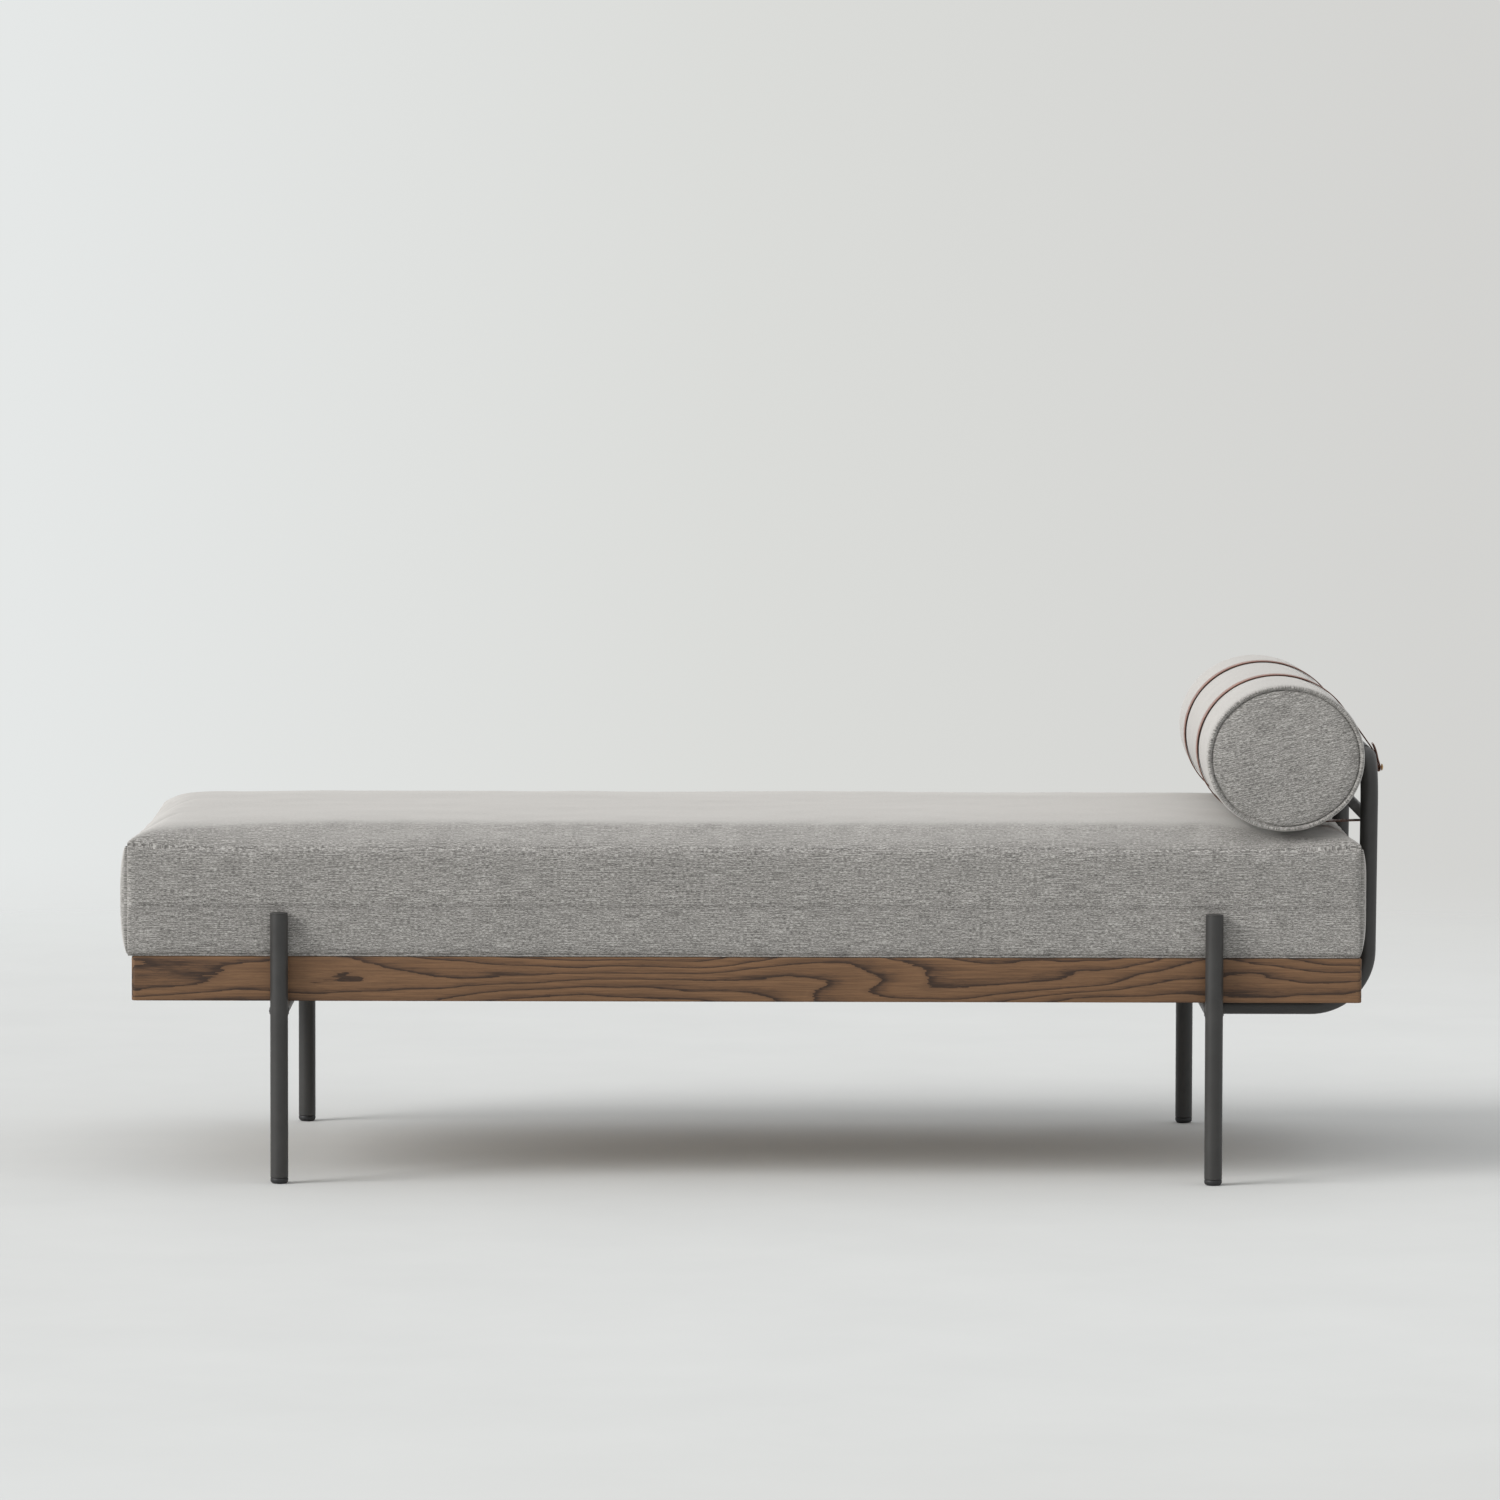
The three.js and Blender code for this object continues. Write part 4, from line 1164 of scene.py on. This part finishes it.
def leather_piece(name, path, thickness, y, closed, replaced=()):
    """A strap along a path of (X, Z), marked near its cut edges for their burnished colour."""
    line = [(px, y, pz) for px, pz in path]
    points, faces = sweep(line, strap_section(thickness), closed, (1.0, 0.0, 0.0))
    piece = make_piece(name, points, faces, "leather", replaced)
    from_middle = np.abs(get_points(piece)[:, 1] - y)
    edge = piece.data.attributes.new("edge", "FLOAT", "POINT")
    edge.data.foreach_set("value", np.clip((from_middle - 11.4) / 2.4, 0, 1).astype(np.float32))
    sharpen(piece, 60.0)


def build_strap(side, y):
    loop = strap_loop(STRAP_THICKNESS / 2)
    leather_piece(f"leather_strap_{side}", loop, STRAP_THICKNESS, y, True, [f"strap_{side}"])
    x = HEAD_TOP_X + TUBE + STRAP_FROM_RAIL + STRAP_THICKNESS
    z = HEAD_TOP_Z
    fold = [(x - 2.8, z + 15), (x - 0.2, z + 10), (x + 2.4, z + 2), (x + 4.4, z - 7)]
    fold += [(x + 6.9, z - 15), (x + 7.7, z - 19), (x + 7.2, z - 22.2), (x + 5.4, z - 23.4)]
    fold += [(x + 3.9, z - 22.0), (x + 3.6, z - 19.0), (x + 3.4, z - 15.5), (x + 2.4, z - 10.0)]
    fold += [(x + 1.5, z - 5.0)]
    leather_piece(f"strap_end_{side}", rounded_line(fold), STRAP_END_THICKNESS, y, False)
    stud = [(0, -3.6), (3.9, -3.6), (4.5, -3.3), (4.5, -2.9), (4.1, -2.6), (2.2, -2.5), (2.2, 12.2)]
    stud += [(4.6, 12.3), (5.0, 12.7), (4.9, 13.2), (4.2, 13.9), (3.0, 14.5), (1.6, 14.85), (0, 15.0)]
    points, faces = lathe(stud, (HEAD_TOP_X + TUBE, y, STUD_Z), False, 32)
    sharpen(make_piece(f"brass_stud_{side}", points, faces, "brass", [f"strap_stud_{side}"]), 45.0)


# ---- Zips ----


def zip_frame(along, out, place):
    """Turns (along, across, out) measures at a place into points."""
    along, out, place = (np.array(v, float) for v in (along, out, place))
    across = np.cross(out, along)
    return lambda points: [place + along * a + across * b + out * c for a, b, c in points]


def build_zip(name, placed, reach, body, replaced):
    """A zip's tape with its two cords, and its teeth meshed along the middle."""
    half = ZIP_WIDTH / 2 - 0.35
    cord = [(half, -1.1), (half, -0.75), (1.9, -0.70), (1.5, -0.35), (1.0, -0.30), (0.9, -0.62)]
    section = [(-a, b) for a, b in cord] + cord[::-1]
    line = [(a, 0, 0) for a in np.linspace(0.6 - reach, reach - 0.6, 60)]
    points, faces = sweep(line, section, up=(0, 0, 1.0))
    make_piece(f"{name}_tape", placed(points), faces, "zip_tape", [replaced], body)
    teeth = []
    pitch, length, margin = 2.2, 1.25, 4
    for k in range(int((2 * reach - 2 * margin) / pitch)):
        a = margin - reach + k * pitch
        b = a + length
        low, high = (-1.7, 0.55) if k % 2 else (-0.55, 1.7)
        teeth.append(prism([(a, low), (b, low), (b, high), (a, high)], -0.62, 0.25))
    points, faces = gathered(teeth)
    make_piece(f"{name}_teeth", placed(points), faces, "black_plastic", (), body, smooth=False)


def build_slider(name, placed, body, replaced):
    """A zip slider: a waisted body, the bridge on it, and a pull with a rounded end."""
    shell = both_ways([(-5.0, 2.2), (-3.6, 3.1), (1.0, 3.4), (4.0, 3.0), (5.0, 1.6)])
    line = rounded_line([(-3.6, 2.0), (-2.6, 3.3), (0.4, 3.75), (3.4, 3.3), (4.4, 2.0)])
    strip = [(-0.9, -0.4), (0.9, -0.4), (0.9, 0.3), (-0.9, 0.3)]
    bridge = sweep([(a, 0, c) for a, c in line], strip, up=(0, 0, 1.0))
    pull = [(4.2, 1.1), (8.0, 1.5), (20.0, 1.7), *arc((24.0, 0.0), 1.9, 70, -70, 8), (20.0, -1.7)]
    pull += [(8.0, -1.5), (4.2, -1.1)]
    points, faces = gathered([prism(shell, 0.95, 2.3), bridge, prism(pull, 1.6, 2.8)])
    piece = make_piece(name, placed(points), faces, "brass", [replaced], body)
    bevelled(piece, 0.25, 2, 40.0, clamp=True)


def build_zips():
    along, out = (1, 0, 0), (0, 1, 0)
    middle = zip_frame(along, out, (0, SEAT_HALF_DEPTH, SEAT_ZIP_Z))
    start = zip_frame(along, out, (SEAT_ZIP_REACH - 40, SEAT_HALF_DEPTH, SEAT_ZIP_Z))
    build_zip("seat_zip_run", middle, SEAT_ZIP_REACH, "seat_cushion", "seat_zip")
    build_slider("seat_zip_pull", start, "seat_zip_puller", "seat_zip_slider")
    cosine, sine = math.cos(BOLSTER_ZIP), math.sin(BOLSTER_ZIP)
    along, out = (0, 1, 0), unit(np.array((cosine * BOLSTER_RZ, 0.0, sine * BOLSTER_RX)))
    x, z = BOLSTER_X + BOLSTER_RX * cosine, BOLSTER_Z + BOLSTER_RZ * sine
    middle = zip_frame(along, out, (x, 0.0, z))
    start = zip_frame(along, out, (x, BOLSTER_ZIP_REACH - 30, z))
    build_zip("bolster_zip_run", middle, BOLSTER_ZIP_REACH, "bolster", "bolster_zip")
    build_slider("bolster_zip_pull", start, "bolster_zip_puller", "bolster_zip_slider")


# ---- CAD nodes that stay ----


def dress_frame_nodes():
    """Gives each CAD node that still shows its own detailed material."""
    looks = {
        "slat_": "plain_wood_across",
        "slat_cleat": "plain_wood",
        "centre_beam": "plain_wood",
        "corner_block": "plain_wood",
        "leg_bolt": "bolt_steel",
        "head_bolt": "bolt_steel",
    }
    for name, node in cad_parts.items():
        if node.hide_render:
            continue
        start = max((key for key in looks if name.startswith(key)), key=len)
        node.data.materials.clear()
        node.data.materials.append(MATERIALS[looks[start]])


# ---- Stage ----


def aim(item, place, target, roll=0.0):
    """Puts a light or the camera at a place, looking at a target."""
    place, target = Vector(place), Vector(target)
    turn = (target - place).to_track_quat("-Z", "Y").to_matrix()
    item.matrix_world = Matrix.Translation(place) @ (turn @ Matrix.Rotation(roll, 3, "Z")).to_4x4()


def build_camera():
    data = bpy.data.cameras.new("camera")
    data.lens = 203.0
    data.sensor_width = 36.0
    data.clip_end = 100.0
    camera = new_object("camera", data)
    place = Vector((MIDDLE_X - 0.021, -12.149, 1.426))
    yaw, pitch, roll = (math.radians(angle) for angle in (0.121, 3.974, 0.135))
    level = math.cos(pitch)
    way = Vector((math.sin(yaw) * level, math.cos(yaw) * level, -math.sin(pitch)))
    aim(camera, place, place + way, roll)
    bpy.context.scene.camera = camera


def add_light(name, kind, place, target, power, colour, **settings):
    data = bpy.data.lights.new(name, kind)
    data.energy = power
    data.color = colour
    for key, value in settings.items():
        setattr(data, key, value)
    light = new_object(name, data)
    aim(light, place, target)
    return light


def build_world():
    """Soft fill from all round, and a pale backdrop where the camera sees past the floor, with
    painted light that makes it paler to the left and darker to the right.
    """
    world = bpy.data.worlds.new("studio")
    world.use_nodes = True
    world.node_tree.nodes.clear()
    sky = Nodes(world.node_tree)
    fill = sky.add("Background", {"Color": (0.98, 0.99, 1.0), "Strength": 0.70})
    across = sky.axes(sky.add("TexCoord").outputs["Generated"])[0]
    # painted light on the backdrop: paler on the left, where the light comes from, and darker on the
    # right
    backdrop = sky.ramp(
        sky.span(across, 0.0, 1.0, -0.085, 0.085),
        (0.0, (0.785, 0.805, 0.800)),
        (0.5, (0.708, 0.716, 0.695)),
        (1.0, (0.655, 0.655, 0.638)),
    )
    seen = sky.add("Background", {"Color": backdrop, "Strength": 1.0})
    ray = sky.add("LightPath").outputs["Is Camera Ray"]
    choice = sky.add("MixShader", {0: ray, 1: fill.outputs[0], 2: seen.outputs[0]})
    sky.add("OutputWorld", {"Surface": choice.outputs[0]})
    bpy.context.scene.world = world


def build_floor():
    """A pale floor that fades into the backdrop far from the daybed."""
    sides = 96
    rings = [0.4, 0.8, 1.4, 2.2, 3.2, 4.6, 6.4, 9.0, 14.0]
    points = [(0.0, 0.0, 0.0)] + [(x, y, 0.0) for r in rings for x, y in circle(r, sides)]
    faces = [(0, 1 + k, 1 + (k + 1) % sides) for k in range(sides)]
    faces += ring_faces(len(rings), sides, False, 1)
    mesh = bpy.data.meshes.new("floor")
    mesh.from_pydata(points, [], faces)
    look = Look("floor")
    mottle = look.noise(look.coords, 3.0, 4.0, 0.6)
    colour = look.two_tone(mottle, (0.665, 0.672, 0.662), (0.690, 0.697, 0.686))
    look.finish(Base_Color=colour, Roughness=0.85, Specular_IOR_Level=0.1)
    distance = look.add("VectorMath", {0: look.coords}, operation="LENGTH").outputs["Value"]
    reach = {0: distance, 1: 1.9, 2: 5.5, 3: 0.0, 4: 1.0}
    fade = look.add("MapRange", reach, interpolation_type="SMOOTHSTEP").outputs[0]
    clear = look.add("BsdfTransparent").outputs[0]
    both = look.add("MixShader", {0: fade, 1: look.shader.outputs[0], 2: clear})
    look.put(look.tree.nodes["Material Output"].inputs["Surface"], both.outputs[0])
    mesh.materials.append(look.material)
    new_object("floor", mesh)


def build_stage():
    bpy.context.scene.view_settings.view_transform = "Standard"
    build_world()
    build_floor()
    size = {"shape": "RECTANGLE", "size": 9.0, "size_y": 8.0}
    middle = (0.0, 0.0, 0.3)
    above = (-0.6, -0.8, 5.5)
    overhead = add_light("overhead", "AREA", above, middle, 30.0, (1.0, 0.99, 0.97), **size)
    overhead.visible_camera = False
    # a far, broad light that falls evenly over the whole floor
    spread = {"angle": math.radians(30.0)}
    toward = (-0.80, -0.38, 0.46)
    add_light("left", "SUN", toward, (0.0, 0.0, 0.0), 2.3, (1.0, 0.995, 0.985), **spread)


build_camera()
build_platform()
build_steel()
build_seat()
build_bolster()
for strap_side, strap_sign in SIDES.items():
    build_strap(strap_side, strap_sign * STRAP_Y)
build_zips()
dress_frame_nodes()
build_stage()
